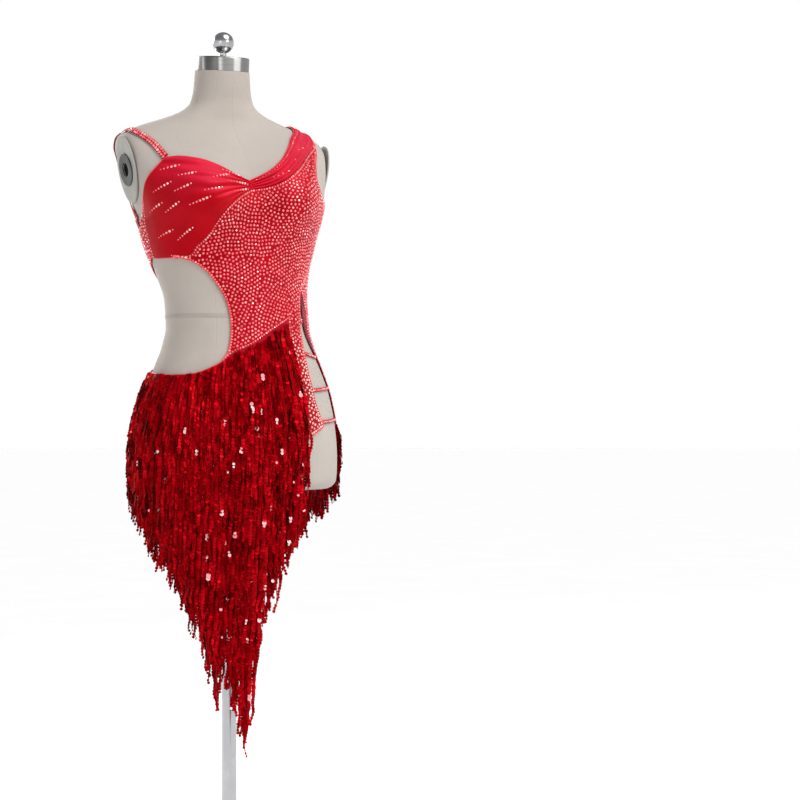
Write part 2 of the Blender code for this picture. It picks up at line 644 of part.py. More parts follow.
def arm_place(side, out):
    """Local XY on the arm cut of one side: X runs back, Y runs up the cut and Z points out."""
    z = Vector((side, 0.0, -ARM_LEAN)).normalized()
    x = Vector((0.0, 1.0, 0.0))
    y = z.cross(x)
    if y.z < 0:
        x, y = -x, -y
    cut = ARM_CUT - ARM_LEAN * (ARM_CUT_RISE - PLATE_RISE)
    middle = Vector((side * cut, PLATE_BACK, WAIST_HEIGHT + PLATE_RISE)) + out * z
    return Matrix.Translation(MM * middle) @ Matrix((x, y, z)).transposed().to_4x4()


def torso():
    tube("form_torso", np.stack([skin(FORM_TURNS, rise) for rise in FORM_RISES]), "form_cover")


def arm_pieces():
    for side, word in ((-1, "right"), (1, "left")):
        on_cut, on_plate = arm_place(side, REST_GAP), arm_place(side, 2 * REST_GAP + PLATE_WALL)
        half = (PLATE_DEPTH / 2, PLATE_HEIGHT / 2)
        oval_ring(f"form_arm_plate_{word}", *half, SOCKET_RADIUS, PLATE_WALL, on_cut, "form_cover")
        half = (RING_RADIUS, RING_RADIUS)
        oval_ring(f"form_arm_ring_{word}", *half, SOCKET_RADIUS, RING_WALL, on_plate, "dark_steel")
        reach, height = SOCKET_RADIUS - REST_GAP, REST_GAP + PLATE_WALL + RING_WALL - SOCKET_SUNK
        plug = [(0, 0), (reach, 0), (reach, height), (0, height)]
        revolve(f"form_arm_socket_{word}", plug, "black_plastic", on_cut, ARM_SEGMENTS)


def neck_pieces():
    lean = Matrix.Rotation(math.atan(NECK_LEAN), 4, "X")
    neck = raised(WAIST_HEIGHT + NECK_TOP, NECK_MIDDLE) @ lean @ raised(REST_GAP)
    shoulder = (CAP_RADIUS, CAP_HEIGHT - EDGE_ROUND), (CAP_RADIUS - EDGE_ROUND, CAP_HEIGHT)
    cap = [(0, 0), (CAP_RADIUS, 0), *shoulder, (0, CAP_HEIGHT)]
    revolve("form_neck_cap", cap, "brushed_steel", neck)
    start = STEM_HEIGHT + BALL_RADIUS - math.sqrt(BALL_RADIUS**2 - STEM_RADIUS**2)
    ball = [(0, 0), (STEM_RADIUS + EDGE_ROUND, 0), (STEM_RADIUS, EDGE_ROUND), (STEM_RADIUS, start)]
    low = math.asin(STEM_RADIUS / BALL_RADIUS)
    for k in range(1, BALL_STEPS):
        angle = low + (math.pi - low) * k / BALL_STEPS
        height = STEM_HEIGHT + BALL_RADIUS * (1 - math.cos(angle))
        ball.append((BALL_RADIUS * math.sin(angle), height))
    ball.append((0, STEM_HEIGHT + 2 * BALL_RADIUS))
    revolve("form_finial", ball, "chrome", neck @ raised(CAP_HEIGHT + REST_GAP), BALL_SEGMENTS)


def stand():
    pole_top = WAIST_HEIGHT + FORM_RISES[0] - REST_GAP
    foot, under = BOSS_TOP + REST_GAP, pole_top - FLANGE_HEIGHT
    pole = [
        (0, foot),
        (POLE_RADIUS, foot),
        (POLE_RADIUS, under - COLLAR_HEIGHT),
        (COLLAR_RADIUS, under),
        (FLANGE_RADIUS, under),
        (FLANGE_RADIUS, pole_top),
        (0, pole_top),
    ]
    revolve("stand_pole", pole, "chrome", segments=ARM_SEGMENTS)
    base = [
        (0, 0),
        (BASE_RADIUS - EDGE_ROUND, 0),
        (BASE_RADIUS, EDGE_ROUND),
        (BASE_RADIUS, 2 * EDGE_ROUND),
        (BASE_RADIUS - 2 * EDGE_ROUND, 3 * EDGE_ROUND),
        (BOSS_RADIUS + EDGE_ROUND, BASE_HEIGHT),
        (0, BASE_HEIGHT),
    ]
    revolve("stand_base", base, "painted_steel", segments=BASE_SEGMENTS)
    boss = [
        (0, BASE_HEIGHT + REST_GAP),
        (BOSS_RADIUS, BASE_HEIGHT + REST_GAP),
        (BOSS_RADIUS, BOSS_TOP - EDGE_ROUND),
        (BOSS_RADIUS - EDGE_ROUND, BOSS_TOP),
        (0, BOSS_TOP),
    ]
    revolve("stand_boss", boss, "chrome")


# ---------------------------------------------------------------- the dress
def cup_relief(along, down):
    """Pleats that leave the centre front and fade out towards the arm."""
    fade = np.clip(1.1 - along, 0, 1) * np.clip(6 * along, 0, 1) * np.clip(1.25 - down, 0, 1)
    return CUP_PLEAT_HEIGHT * fade * np.sin(np.pi * CUP_PLEATS * down) ** 2


def band_relief(along, down):
    fade = 0.5 + 0.5 * np.clip(np.sin(np.pi * np.clip(along * 1.1, 0, 1)) * 1.5, 0, 1)
    return BAND_CREASE_HEIGHT * fade * np.sin(np.pi * BAND_CREASES * down) ** 2


def even(edge, count):
    """An edge as `count` evenly spaced places."""
    return evenly(flat(drawn(edge, FINE_STEP)), count)


def bodice():
    front = [
        BAND_LOW, LEFT_ARMHOLE_FRONT, LEFT_SIDE_SEAM, LADDER_FRONT, LEG_LINE_STRIP,
        STRIP_EDGE, FRINGE_TOP_FRONT, CUTOUT_FRONT, CUP_SEAM,
    ]
    panel("front_panel", outline(*front), "stoned_lycra")
    low = np.vstack([drawn(CUP_SEAM)[::-1], drawn(CUP_HEM)[-2::-1]])
    side = CUP_ARMHOLE + CUP_SIDE_SEAM[1:]
    patch("right_cup", even(CUP_TOP, len(low)), low, CUP_ROWS, "red_lycra", end=side, relief=cup_relief)
    low = np.vstack([drawn(BAND_LOW), drawn(BAND_OUTER)[1:]])
    patch("neck_band", even(BAND_TOP, len(low)), low, BAND_ROWS, "red_lycra", relief=band_relief)
    back = [
        BACK_OPENING, BACK_OPENING_RIGHT, BACK_BAND_END, CUTOUT_BACK, FRINGE_TOP_BACK, LEG_LINE_BACK,
        LADDER_BACK, "-", LEFT_SIDE_SEAM, LEFT_ARMHOLE_BACK, SHOULDER_SEAM,
    ]
    panel("back_panel", outline(*back), "stoned_lycra")
    side = [SIDE_BAND_TOP, shifted(CUP_SIDE_SEAM, 360), "-", SIDE_BAND_HEM, "-", BACK_BAND_END]
    panel("right_side_panel", outline(*side), "stoned_lycra")
    ribbon("right_shoulder_strap", RIGHT_STRAP_PATH, STRAP_WIDTH, "stoned_lycra")
    front_edge, back_edge = drawn(LADDER_FRONT), drawn(LADDER_BACK)
    for number, strap in enumerate(HIP_STRAPS, 1):
        sides = np.array([-0.5, 0.0, 0.5]) * strap.width
        front = np.interp(-strap.front_rise - sides, -front_edge[:, 1], front_edge[:, 0]).max()
        back = np.interp(strap.back_rise + sides, back_edge[:, 1], back_edge[:, 0]).min()
        front += strap.short / degree_length(front, strap.front_rise)
        back -= strap.short / degree_length(back, strap.back_rise)
        path = [(front, strap.front_rise), (back, strap.back_rise)]
        ribbon(f"hip_strap_{number}", path, strap.width, "stoned_lycra", EDGE_STEP / 2)


def brief():
    between_legs = [BRIEF_LEG_FRONT[-1], BRIEF_LEG_RIGHT[0]]
    front = [
        CUTOUT_LOW_FRONT, "-", FRINGE_TOP_FRONT, "-", STRIP_EDGE,
        BRIEF_LEG_FRONT, between_legs, BRIEF_LEG_RIGHT, RIGHT_SIDE_LOW,
    ]
    panel("brief_front", outline(*front), "red_lycra")
    between_legs = [BRIEF_LEG_BACK_RIGHT[-1], BRIEF_LEG_BACK_LEFT[0]]
    back = [
        CUTOUT_LOW_BACK, RIGHT_SIDE_BACK, BRIEF_LEG_BACK_RIGHT,
        between_legs, BRIEF_LEG_BACK_LEFT, "-", FRINGE_TOP_BACK,
    ]
    panel("brief_back", outline(*back), "red_lycra")


def fringes():
    for word, fringe in (("front", FRONT_FRINGE), ("back", BACK_FRINGE)):
        for index in range(len(fringe.tiers)):
            comb(f"fringe_{word}_{index + 1}", fringe, index, "red_fringe")


clear_scene()
torso()
arm_pieces()
neck_pieces()
stand()
bodice()
brief()
fringes()
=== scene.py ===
"""Red salsa dance dress on its limbless dress form: the fine pieces, materials, floor and lights.

Metres, +Z up, the form faces -Y and the wearer's left is +X. Tables hold millimetres and
degrees. A place on the form's skin is (turn, rise): turn is 0 at the centre front, 90 at the
wearer's left side, 180 at the centre back and 270 (or -90) at the right side, and rise is
counted up from the waist. Cloth, stones and strands are laid out in these terms, then lifted.
"""

import json
import math
from collections import namedtuple

import bmesh
import bpy
import numpy as np
from mathutils import Matrix, Vector
from mathutils.bvhtree import BVHTree
from mathutils.geometry import delaunay_2d_cdt

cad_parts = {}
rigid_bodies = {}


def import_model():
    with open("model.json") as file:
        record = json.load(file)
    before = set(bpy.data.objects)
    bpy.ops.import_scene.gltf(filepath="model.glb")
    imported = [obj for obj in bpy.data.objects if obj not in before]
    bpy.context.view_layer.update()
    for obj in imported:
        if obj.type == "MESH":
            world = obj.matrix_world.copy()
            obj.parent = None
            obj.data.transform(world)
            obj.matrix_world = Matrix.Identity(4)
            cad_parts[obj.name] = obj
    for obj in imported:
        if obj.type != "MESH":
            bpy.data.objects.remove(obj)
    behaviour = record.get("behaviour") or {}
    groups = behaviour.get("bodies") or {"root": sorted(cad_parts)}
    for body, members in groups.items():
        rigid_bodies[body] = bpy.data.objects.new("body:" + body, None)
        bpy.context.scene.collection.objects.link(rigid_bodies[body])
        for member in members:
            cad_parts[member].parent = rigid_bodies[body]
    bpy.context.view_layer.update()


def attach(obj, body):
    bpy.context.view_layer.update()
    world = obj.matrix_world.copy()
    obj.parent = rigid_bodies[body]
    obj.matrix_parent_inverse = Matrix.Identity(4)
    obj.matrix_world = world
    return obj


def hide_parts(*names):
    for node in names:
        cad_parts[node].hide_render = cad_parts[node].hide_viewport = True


for leftover in list(bpy.data.objects):
    bpy.data.objects.remove(leftover)

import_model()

MM = 0.001
RNG = np.random.default_rng(7)

# ---------------------------------------------------------------- dimensions, mm
WAIST_HEIGHT = 1040.0
SEAM_GAP = 0.4  # between two cloth pieces that meet edge to edge
EDGE_STEP = 4.0  # between points along a cloth edge
EDGE_CLEAR = 0.6  # share of EDGE_STEP by which points inside the cloth stay off its edge
LATTICE_STEP = 6.0  # between points inside a cloth piece
CURVE_SHARES = 12  # stretches into which a curve is cut between two of its control points
MEAN_DEGREE = 2.3  # length of one degree of turn on an average section
CLOTH_INSIDE, CLOTH_OUTSIDE = 1.9, 2.8  # both faces of the cloth, off the skin
FOLD_THINNING = 0.7  # share of a fold's height that the inside of the cloth follows

BASE_RADIUS, BASE_HEIGHT = 200.0, 14.0
BOSS_RADIUS, BOSS_TOP = 26.0, 42.0
POLE_RADIUS = 13.0
COLLAR_RADIUS, COLLAR_HEIGHT = 22.0, 20.0
FLANGE_RADIUS, FLANGE_HEIGHT = 55.0, 6.0
REST_GAP = 0.4  # between hard pieces that rest on each other
CAP_RADIUS, CAP_HEIGHT = 45.5, 23.5
BALL_RADIUS, STEM_RADIUS, STEM_HEIGHT = 18.2, 6.0, 6.5
PLATE_DEPTH, PLATE_HEIGHT, PLATE_WALL = 76.0, 114.0, 2.6
PLATE_RISE, PLATE_BACK, PLATE_EDGE = 245.5, 20.0, 0.7  # PLATE_EDGE is how far its edges round over
RING_RADIUS, RING_WALL = 27.5, 1.6
SOCKET_RADIUS, SOCKET_SUNK = 12.0, 2.5
ROUND_SEGMENTS, BALL_STEPS = 96, 36  # round a turned piece, and down the ball
SHARP_ANGLE = 40.0  # edges sharper than this stay sharp

STRAP_WIDTH, WAIST_STRAP_WIDTH, HIP_STRAP_WIDTH = 12.0, 8.0, 6.0
PIPING_RADIUS, THIN_PIPING_RADIUS = 0.95, 0.85
PIPING_SHIFT, PIPING_LIFT = 0.6, 2.5  # in from the edge, and off the skin
HANG_RISE = -255.0  # below this the strands hang free
# A free strand loses this share of its distance from the middle plane for each mm that it hangs.
HANG_DRAW = 0.001

# Small stones make a row along each edge, and larger ones are packed inside it.
STONE_ROW_INSET, STONE_ROW_PITCH, STONE_PITCH = 2.3, 4.8, 5.9
ROW_STONE_RADIUS, STONE_RADIUS = 1.95, 2.2
FACETS = 8  # round a stone
STONE_TABLE = 0.56  # a stone's flat top, and how high it stands, as shares of its radius
STONE_TIP = 0.07  # how far the stones lean, in radians
STONE_LATTICE = 1.1  # between the places that are tried for stones
ROW_CLEAR = 2.5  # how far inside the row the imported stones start
STRAP_STONE_LIFT = 2.85
PROBE_LIFT = 14.0  # from this far off the skin, the outside of folded cloth is looked for

# ---------------------------------------------------------------- form
# `middle` is how far a section lies to the wearer's left.
Section = namedtuple("Section", "rise middle half_width front back squareness")
FORM_SECTIONS = [
    Section(-290, 10, 162, -113, 98, 2.15),
    Section(-286, 10, 170, -121, 106, 2.15),
    Section(-276, 11, 175, -127, 111, 2.15),
    Section(-240, 11, 177, -131, 114, 2.10),
    Section(-180, 10, 172, -134, 110, 2.05),
    Section(-130, 8, 162, -131, 97, 2.00),
    Section(-85, 6, 145, -126, 81, 2.00),
    Section(-50, 5, 131, -120, 71, 2.00),
    Section(-15, 4, 123, -115, 67, 2.00),
    Section(25, 3, 123, -110, 70, 2.00),
    Section(70, 0, 132, -105, 80, 2.00),
    Section(120, -1, 147, -101, 94, 2.03),
    Section(170, -1, 161, -97, 107, 2.08),
    Section(215, 0, 175, -86, 116, 2.18),
    Section(255, 0, 186, -68, 121, 2.34),
    Section(283, 0, 189, -48, 120, 2.50),
    Section(300, 0, 184, -32, 114, 2.40),
    Section(312, 0, 169, -22, 107, 2.25),
    Section(324, 0, 142, -15, 98, 2.10),
    Section(336, 0, 106, -12, 90, 2.00),
    Section(349, 0, 74, -12, 83, 2.00),
    Section(364, 0, 56, -12, 78, 2.00),
    Section(385, 0, 50, -14, 76, 2.00),
    Section(424, 0, 46, -17, 76, 2.00),
]
# One side of the bust: its middle, how far it stands out, and how it dies away.
BUST_ACROSS, BUST_RISE, BUST_OUT = 86.0, 196.0, 44.0
BUST_WIDE, BUST_ABOVE, BUST_BELOW, BUST_TURN = 45.0, 58.0, 36.0, 3.0
# The flat, leaning cut where an arm would start.
ARM_CUT, ARM_CUT_RISE, ARM_LEAN = 183.0, 290.0, 0.20
ARM_CUT_LOW, ARM_CUT_FLARE, ARM_EASE = 165.0, 1.5, 4.0  # the cut runs out below ARM_CUT_LOW
# The top of the neck leans forward from this rise.
NECK_RISE, NECK_TOP, NECK_LEAN, NECK_MIDDLE = 364.0, 420.5, 0.09, 29.5

# ---------------------------------------------------------------- cloth edges: (turn, rise)
CUP_TOP = [(-2, 222), (-10, 233), (-19, 245), (-27, 255), (-36, 261), (-43, 260)]
CUP_ARMHOLE = [(-43, 260), (-52, 243), (-62, 226), (-70, 209), (-76, 192)]
CUP_SIDE_SEAM = [(-76, 192), (-79, 168), (-81, 136), (-84, 97)]
CUP_HEM = [(-84, 97), (-72, 96.5), (-61, 96.5)]
CUP_SEAM = [
    (-61, 96.5), (-45, 101), (-40, 113), (-31, 132), (-25, 158), (-18, 180), (-10, 196), (-2, 208),
]

BAND_TOP = [
    (-2, 222), (6, 233), (12, 244), (19, 263), (26, 287), (34, 306), (50, 320), (70, 329),
    (90, 331),
]
BAND_LOW = [(-2, 208), (7, 212), (14, 219), (20, 230), (28, 251), (38, 278), (52, 302)]
BAND_OUTER = [(52, 302), (60, 310), (75, 318), (90, 321)]

LEFT_ARMHOLE_FRONT = [(52, 302), (47, 288), (42, 258), (41, 231), (46, 212), (58, 196), (74, 184)]
LEFT_SIDE_SEAM = [(74, 184), (72, 140), (67, 100), (58, 70), (48, 48)]
LADDER_FRONT = [
    (48, 48), (45.5, 20), (43.5, -6), (42, -38), (39.5, -66), (37.5, -92), (36.8, -121),
    (37.2, -148), (41.5, -184),
]
LEG_LINE_STRIP = [(41.5, -184), (32, -196), (22.7, -207)]
STRIP_EDGE = [(22.7, -207), (23.5, -150), (25.4, -98), (26.2, -47), (28.5, -5)]
FRINGE_TOP_FRONT = [(28.5, -5), (9, -27), (-6, -48), (-19, -61), (-28, -76)]
CUTOUT_FRONT = [
    (-28, -76), (-24, -56), (-22.5, -16), (-24, 17), (-29, 47), (-35, 71), (-43, 86), (-51, 93.5),
    (-61, 96.5),
]
CUTOUT_LOW_FRONT = [(-92, -94.5), (-78, -97.5), (-63, -98), (-47, -96), (-36, -87), (-28, -76)]
RIGHT_SIDE_LOW = [(-92, -190), (-92, -140), (-92, -94.5)]
BRIEF_LEG_FRONT = [(22.7, -207), (17.5, -232), (14, -270)]
BRIEF_LEG_RIGHT = [(-14, -270), (-25, -245), (-45, -218), (-70, -197), (-92, -190)]

SHOULDER_SEAM = [(90, 321), (90, 331)]
BACK_OPENING = [
    (90, 331), (110, 327), (126, 316), (134, 304), (140, 278), (140, 243), (139, 209), (139, 174),
    (142, 140), (148, 105), (157, 69), (169, 41), (183, 21),
]
BACK_OPENING_RIGHT = [
    (183, 21), (199, 30), (217, 46), (235, 75), (247, 104), (257, 131), (262, 146),
]
BACK_BAND_END = [(262, 146), (264, 118), (266, 92)]
CUTOUT_BACK = [
    (266, 92), (252, 81), (235, 56), (223, 35), (214, 14), (210, -11), (210, -37), (214, -57),
    (218, -67),
]
FRINGE_TOP_BACK = [
    (218, -67), (205, -65), (194, -55), (181, -42), (167, -28), (153, -10), (138, 5), (124, 11),
    (116, -30), (110, -75), (103, -108), (94, -145), (84, -187),
]
LEG_LINE_BACK = [(84, -187), (78, -184), (71, -179)]
LADDER_BACK = [
    (71, -179), (70, -148), (69, -121), (67, -92), (61, -66), (53, -38), (49, -6), (47.8, 20),
    (48, 48),
]
LEFT_ARMHOLE_BACK = [
    (74, 184), (92, 180), (104, 190), (112, 210), (118, 230), (125, 254), (128, 279), (127, 298),
    (108, 315), (90, 321),
]
SIDE_BAND_TOP = [(262, 146), (268, 148), (274, 165), (280, 182), (284, 192)]
SIDE_BAND_HEM = [(266, 92), (271, 97), (276, 97)]

CUTOUT_LOW_BACK = [(218, -67), (224, -77), (232, -84), (243, -90), (256, -93.5), (268, -94.5)]
RIGHT_SIDE_BACK = [(268, -94.5), (268, -140), (268, -190)]
BRIEF_LEG_BACK_RIGHT = [(268, -190), (250, -208), (225, -240), (198, -270)]
BRIEF_LEG_BACK_LEFT = [(162, -270), (140, -248), (112, -215), (84, -187)]

RIGHT_STRAP_PATH = [
    (-43.8, 260.4), (-46, 280), (-50, 292), (-59, 304), (-78, 312), (-98, 310), (-112, 301),
    (-121, 281), (-122, 262), (-120.5, 243), (-117, 219), (-111, 195), (-101.5, 168),
    (-95.2, 149.8),
]
# `short` is how far each strap stops from the edge of the panels that it joins.
HipStrap = namedtuple("HipStrap", "front_rise back_rise width short")
HIP_STRAPS = [
    HipStrap(-8, -6, WAIST_STRAP_WIDTH, 0.80),
    HipStrap(-62, -68, HIP_STRAP_WIDTH, 0.95),
    HipStrap(-124, -119, HIP_STRAP_WIDTH, 0.50),
    HipStrap(-177, -172, HIP_STRAP_WIDTH, 0.30),
]


# ---------------------------------------------------------------- vectors and rings
def unit(vectors):
    """The same directions, each of length 1."""
    return vectors / np.linalg.norm(vectors, axis=-1, keepdims=True)


def square_to(normals, vectors):
    """Unit vectors square to the normals, from vectors that lean."""
    return unit(vectors - np.sum(vectors * normals, axis=1, keepdims=True) * normals)


def lengths_along(points):
    """How far along a run of points each of them lies."""
    return np.concatenate([[0.0], np.cumsum(np.linalg.norm(np.diff(points, axis=0), axis=1))])


def circle(count, start=0.0):
    """Angles of `count` even places round a circle."""
    return 2 * np.pi * (np.arange(count) + start) / count


def grid(low, high, step):
    """A square lattice of flat points between two corners."""
    across, up = np.meshgrid(np.arange(low[0], high[0], step), np.arange(low[1], high[1], step))
    return np.stack([across.ravel(), up.ravel()], axis=1)


def side_faces(order, closed=False):
    """Faces between rings of point numbers. `closed` also joins the last ring to the first."""
    above = np.roll(order, -1, axis=0)
    corners = [order, np.roll(order, -1, axis=1), np.roll(above, -1, axis=1), above]
    faces = np.stack(corners, axis=-1)
    return (faces if closed else faces[:-1]).reshape(-1, 4).tolist()


# ---------------------------------------------------------------- the form's skin
def eased(knots, values, x):
    """A smooth curve through the knots that never overshoots them."""
    knots, values = np.asarray(knots, float), np.asarray(values, float)
    step = np.diff(knots)
    slope = np.diff(values) / step
    tangent = np.zeros_like(values)
    tangent[0], tangent[-1] = slope[0], slope[-1]
    before, after = 2 * step[1:] + step[:-1], step[1:] + 2 * step[:-1]
    same_way = slope[:-1] * slope[1:] > 0
    safe = np.where(same_way, slope[:-1] * slope[1:], 1.0)
    blend = (before + after) * safe / (before * slope[1:] + after * slope[:-1] + ~same_way)
    tangent[1:-1] = np.where(same_way, blend, 0.0)
    x = np.clip(np.asarray(x, float), knots[0], knots[-1])
    k = np.clip(np.searchsorted(knots, x) - 1, 0, len(step) - 1)
    s, h = (x - knots[k]) / step[k], step[k]
    return (
        (1 + 2 * s) * (1 - s) ** 2 * values[k]
        + s * (1 - s) ** 2 * h * tangent[k]
        + s * s * (3 - 2 * s) * values[k + 1]
        + s * s * (s - 1) * h * tangent[k + 1]
    )


SECTION_RISES = [s.rise for s in FORM_SECTIONS]


def skin(turn, rise):
    """Points of the form's skin, in millimetres."""
    turn, rise = np.broadcast_arrays(np.asarray(turn, float), np.asarray(rise, float))
    middle, half_width, front, back, power = (
        eased(SECTION_RISES, [s[i] for s in FORM_SECTIONS], rise) for i in range(1, 6)
    )
    sine, cosine = np.sin(np.radians(turn)), np.cos(np.radians(turn))
    reach = (np.abs(sine) ** power + np.abs(cosine) ** power) ** (-1 / power)
    x = middle + half_width * reach * sine
    y = (front + back) / 2 - (back - front) / 2 * reach * cosine
    tall = np.where(rise > BUST_RISE, BUST_ABOVE, BUST_BELOW)
    for side in (-1, 1):
        away = ((x - side * BUST_ACROSS) / BUST_WIDE) ** 2 + ((rise - BUST_RISE) / tall) ** 2
        y = y - BUST_OUT * np.exp(-away / 2) * np.clip(BUST_TURN * cosine, 0, 1)
    cut = ARM_CUT - ARM_LEAN * (ARM_CUT_RISE - rise)
    cut = cut + ARM_CUT_FLARE * np.clip(ARM_CUT_LOW - rise, 0, None)
    over = np.clip((np.abs(x) - cut) / ARM_EASE, -40, 40)
    x = np.sign(x) * (np.abs(x) - ARM_EASE * np.log1p(np.exp(over)))
    lean = NECK_LEAN * np.clip((rise - NECK_RISE) / (NECK_TOP - NECK_RISE), 0, 1)
    return np.stack([x, y, WAIST_HEIGHT + rise + lean * (y - NECK_MIDDLE)], axis=-1)


def lifted(turn, rise, lift):
    """Points lifted square off the skin by `lift` millimetres."""
    turn, rise = np.asarray(turn, float), np.asarray(rise, float)
    across = skin(turn + 0.5, rise) - skin(turn - 0.5, rise)
    up = skin(turn, rise + 0.5) - skin(turn, rise - 0.5)
    return skin(turn, rise) + np.asarray(lift, float)[..., None] * unit(np.cross(across, up))


def degree_length(turn, rise):
    """Length of one degree of turn on the skin, in millimetres."""
    return float(np.linalg.norm(skin(turn + 0.5, rise) - skin(turn - 0.5, rise)))


# ---------------------------------------------------------------- laying cloth out flat
RISE_SAMPLES = np.arange(-290.0, 420.0, 2.0)
SIDE_LENGTH = lengths_along(skin(90.0, RISE_SAMPLES))


def flat(places):
    """(turn, rise) laid out in millimetres, the rise by length along the side of the form."""
    turn, rise = np.asarray(places, float).T
    return np.stack([MEAN_DEGREE * turn, np.interp(rise, RISE_SAMPLES, SIDE_LENGTH)], axis=1)


def unflat(points):
    """Flat points as (turn, rise) places."""
    across, up = np.asarray(points, float).T
    return np.stack([across / MEAN_DEGREE, np.interp(up, SIDE_LENGTH, RISE_SAMPLES)], axis=1)


def curve_between(a, b, c, d, s):
    """The stretch from b to c of a smooth curve through four points, at shares s of the way."""
    bend = (2 * a - 5 * b + 4 * c - d) * s**2 + (3 * b - a - 3 * c + d) * s**3
    return (2 * b + (c - a) * s + bend) / 2


def evenly(run, count=None, step=EDGE_STEP):
    """A run of flat points as (turn, rise) places: `count` of them, or one about every `step`."""
    length = lengths_along(run)
    count = count or max(1, round(length[-1] / step)) + 1
    at = np.linspace(0, length[-1], count)
    return unflat(np.stack([np.interp(at, length, run[:, i]) for i in (0, 1)], axis=1))


def drawn(edge, step=EDGE_STEP):
    """A smooth edge through its control points, as evenly spaced (turn, rise) places."""
    knots = flat(edge)
    if len(knots) > 2:
        ends = np.vstack([2 * knots[0] - knots[1], knots, 2 * knots[-1] - knots[-2]])
        shares = np.linspace(0, 1, CURVE_SHARES, endpoint=False)[:, None]
        fours = zip(ends, ends[1:], ends[2:], ends[3:])
        knots = np.vstack([curve_between(*four, shares) for four in fours] + [knots[-1:]])
    return evenly(knots, step=step)


def even(edge, count):
    """An edge as `count` evenly spaced places."""
    return evenly(flat(drawn(edge, 2.0)), count)


def outline(*edges):
    """A closed outline from edges that follow each other. '-' before an edge runs it backwards."""
    places, backwards = [], False
    for edge in edges:
        if isinstance(edge, str):
            backwards = True
            continue
        run = drawn(edge)
        places.extend((run[::-1] if backwards else run)[:-1])
        backwards = False
    return np.array(places)


def shifted(edge, turn):
    """An edge with its turns counted from another start."""
    return [(t + turn, r) for t, r in edge]


def inset(loop, distance):
    """A closed loop of flat points moved inwards."""
    ahead, behind = np.roll(loop, -1, axis=0) - loop, loop - np.roll(loop, 1, axis=0)
    normals = []
    for run in (ahead, behind):
        run = run / np.maximum(np.linalg.norm(run, axis=1, keepdims=True), 1e-9)
        normals.append(np.stack([-run[:, 1], run[:, 0]], axis=1))
    x, y = loop.T
    turned = 1 if np.sum(x * np.roll(y, -1) - np.roll(x, -1) * y) > 0 else -1
    middle = normals[0] + normals[1]
    middle /= np.maximum(np.sum(middle * normals[0], axis=1, keepdims=True), 0.5)
    return loop + turned * distance * middle


def within(points, loop):
    """Which of the points lie inside the loop."""
    inside = np.zeros(len(points), bool)
    x, y = points.T
    for (ax, ay), (bx, by) in zip(loop, np.roll(loop, -1, axis=0)):
        if ay != by:
            inside ^= ((ay > y) != (by > y)) & (x < ax + (y - ay) * (bx - ax) / (by - ay))
    return inside


def edge_distance(points, loop):
    """How far each point is from the loop."""
    nearest = np.full(len(points), np.inf)
    for a, b in zip(loop, np.roll(loop, -1, axis=0)):
        along = b - a
        s = np.clip((points - a) @ along / max(along @ along, 1e-9), 0, 1)
        nearest = np.minimum(nearest, np.linalg.norm(a + s[:, None] * along - points, axis=1))
    return nearest


# ---------------------------------------------------------------- materials
def blank(name, colour, metallic, roughness, **sockets):
    """A material with one even look. Other sockets are named with _ for each space."""
    made = bpy.data.materials.new(name)
    made.use_nodes = True
    even_look = {"Base Color": (*colour, 1.0), "Metallic": metallic, "Roughness": roughness}
    for socket, value in {**even_look, **sockets}.items():
        shader_input(made, socket.replace("_", " ")).default_value = value
    return made


def node(mat, kind, **settings):
    """A new node of a material or world."""
    made = mat.node_tree.nodes.new(kind)
    for key, value in settings.items():
        setattr(made, key, value)
    return made


def wire(mat, source, target):
    mat.node_tree.links.new(source, target)


def noise(mat, scale, detail=3.0, stretch=(1, 1, 1)):
    """A noise value in the object's own metres."""
    place = node(mat, "ShaderNodeTexCoord")
    mapped = node(mat, "ShaderNodeMapping")
    mapped.inputs["Scale"].default_value = stretch
    made = node(mat, "ShaderNodeTexNoise")
    made.inputs["Scale"].default_value = scale
    made.inputs["Detail"].default_value = detail
    wire(mat, place.outputs["Object"], mapped.inputs["Vector"])
    wire(mat, mapped.outputs["Vector"], made.inputs["Vector"])
    return made.outputs["Fac"]


def attribute(mat, name):
    """The value that a mesh layer of this name gives each face."""
    return node(mat, "ShaderNodeAttribute", attribute_name=name).outputs["Fac"]


def ramp(mat, value, *stops):
    """Colours or greys laid over a value: stops are (position, colour or grey)."""
    made = node(mat, "ShaderNodeValToRGB")
    points = made.color_ramp.elements
    while len(points) < len(stops):
        points.new(0.5)
    for point, (position, colour) in zip(points, stops):
        point.position = position
        point.color = (*colour, 1.0) if isinstance(colour, tuple) else (colour, colour, colour, 1.0)
    wire(mat, value, made.inputs["Fac"])
    return made.outputs["Color"]


def mixed(mat, first, second, share, kind="MULTIPLY"):
    """Two colours blended in the given way."""
    made = node(mat, "ShaderNodeMix", data_type="RGBA", blend_type=kind)
    made.inputs[0].default_value = share
    wire(mat, first, made.inputs[6])
    wire(mat, second, made.inputs[7])
    return made.outputs[2]


def mottled(mat, scale, detail, low, high):
    """Two colours or greys mixed by noise."""
    return ramp(mat, noise(mat, scale, detail), (0.3, low), (0.7, high))


def shader_input(mat, name):
    return mat.node_tree.nodes["Principled BSDF"].inputs[name]


def finish(mat, colour, rough=None, height=None, distance=0.0, strength=0.5):
    """Give a material its colour, and perhaps its roughness and the height of its bumps."""
    wire(mat, colour, shader_input(mat, "Base Color"))
    if rough is not None:
        wire(mat, rough, shader_input(mat, "Roughness"))
    if height is not None:
        made = node(mat, "ShaderNodeBump")
        made.inputs["Strength"].default_value = strength
        made.inputs["Distance"].default_value = distance
        wire(mat, height, made.inputs["Height"])
        wire(mat, made.outputs["Normal"], shader_input(mat, "Normal"))
    return mat


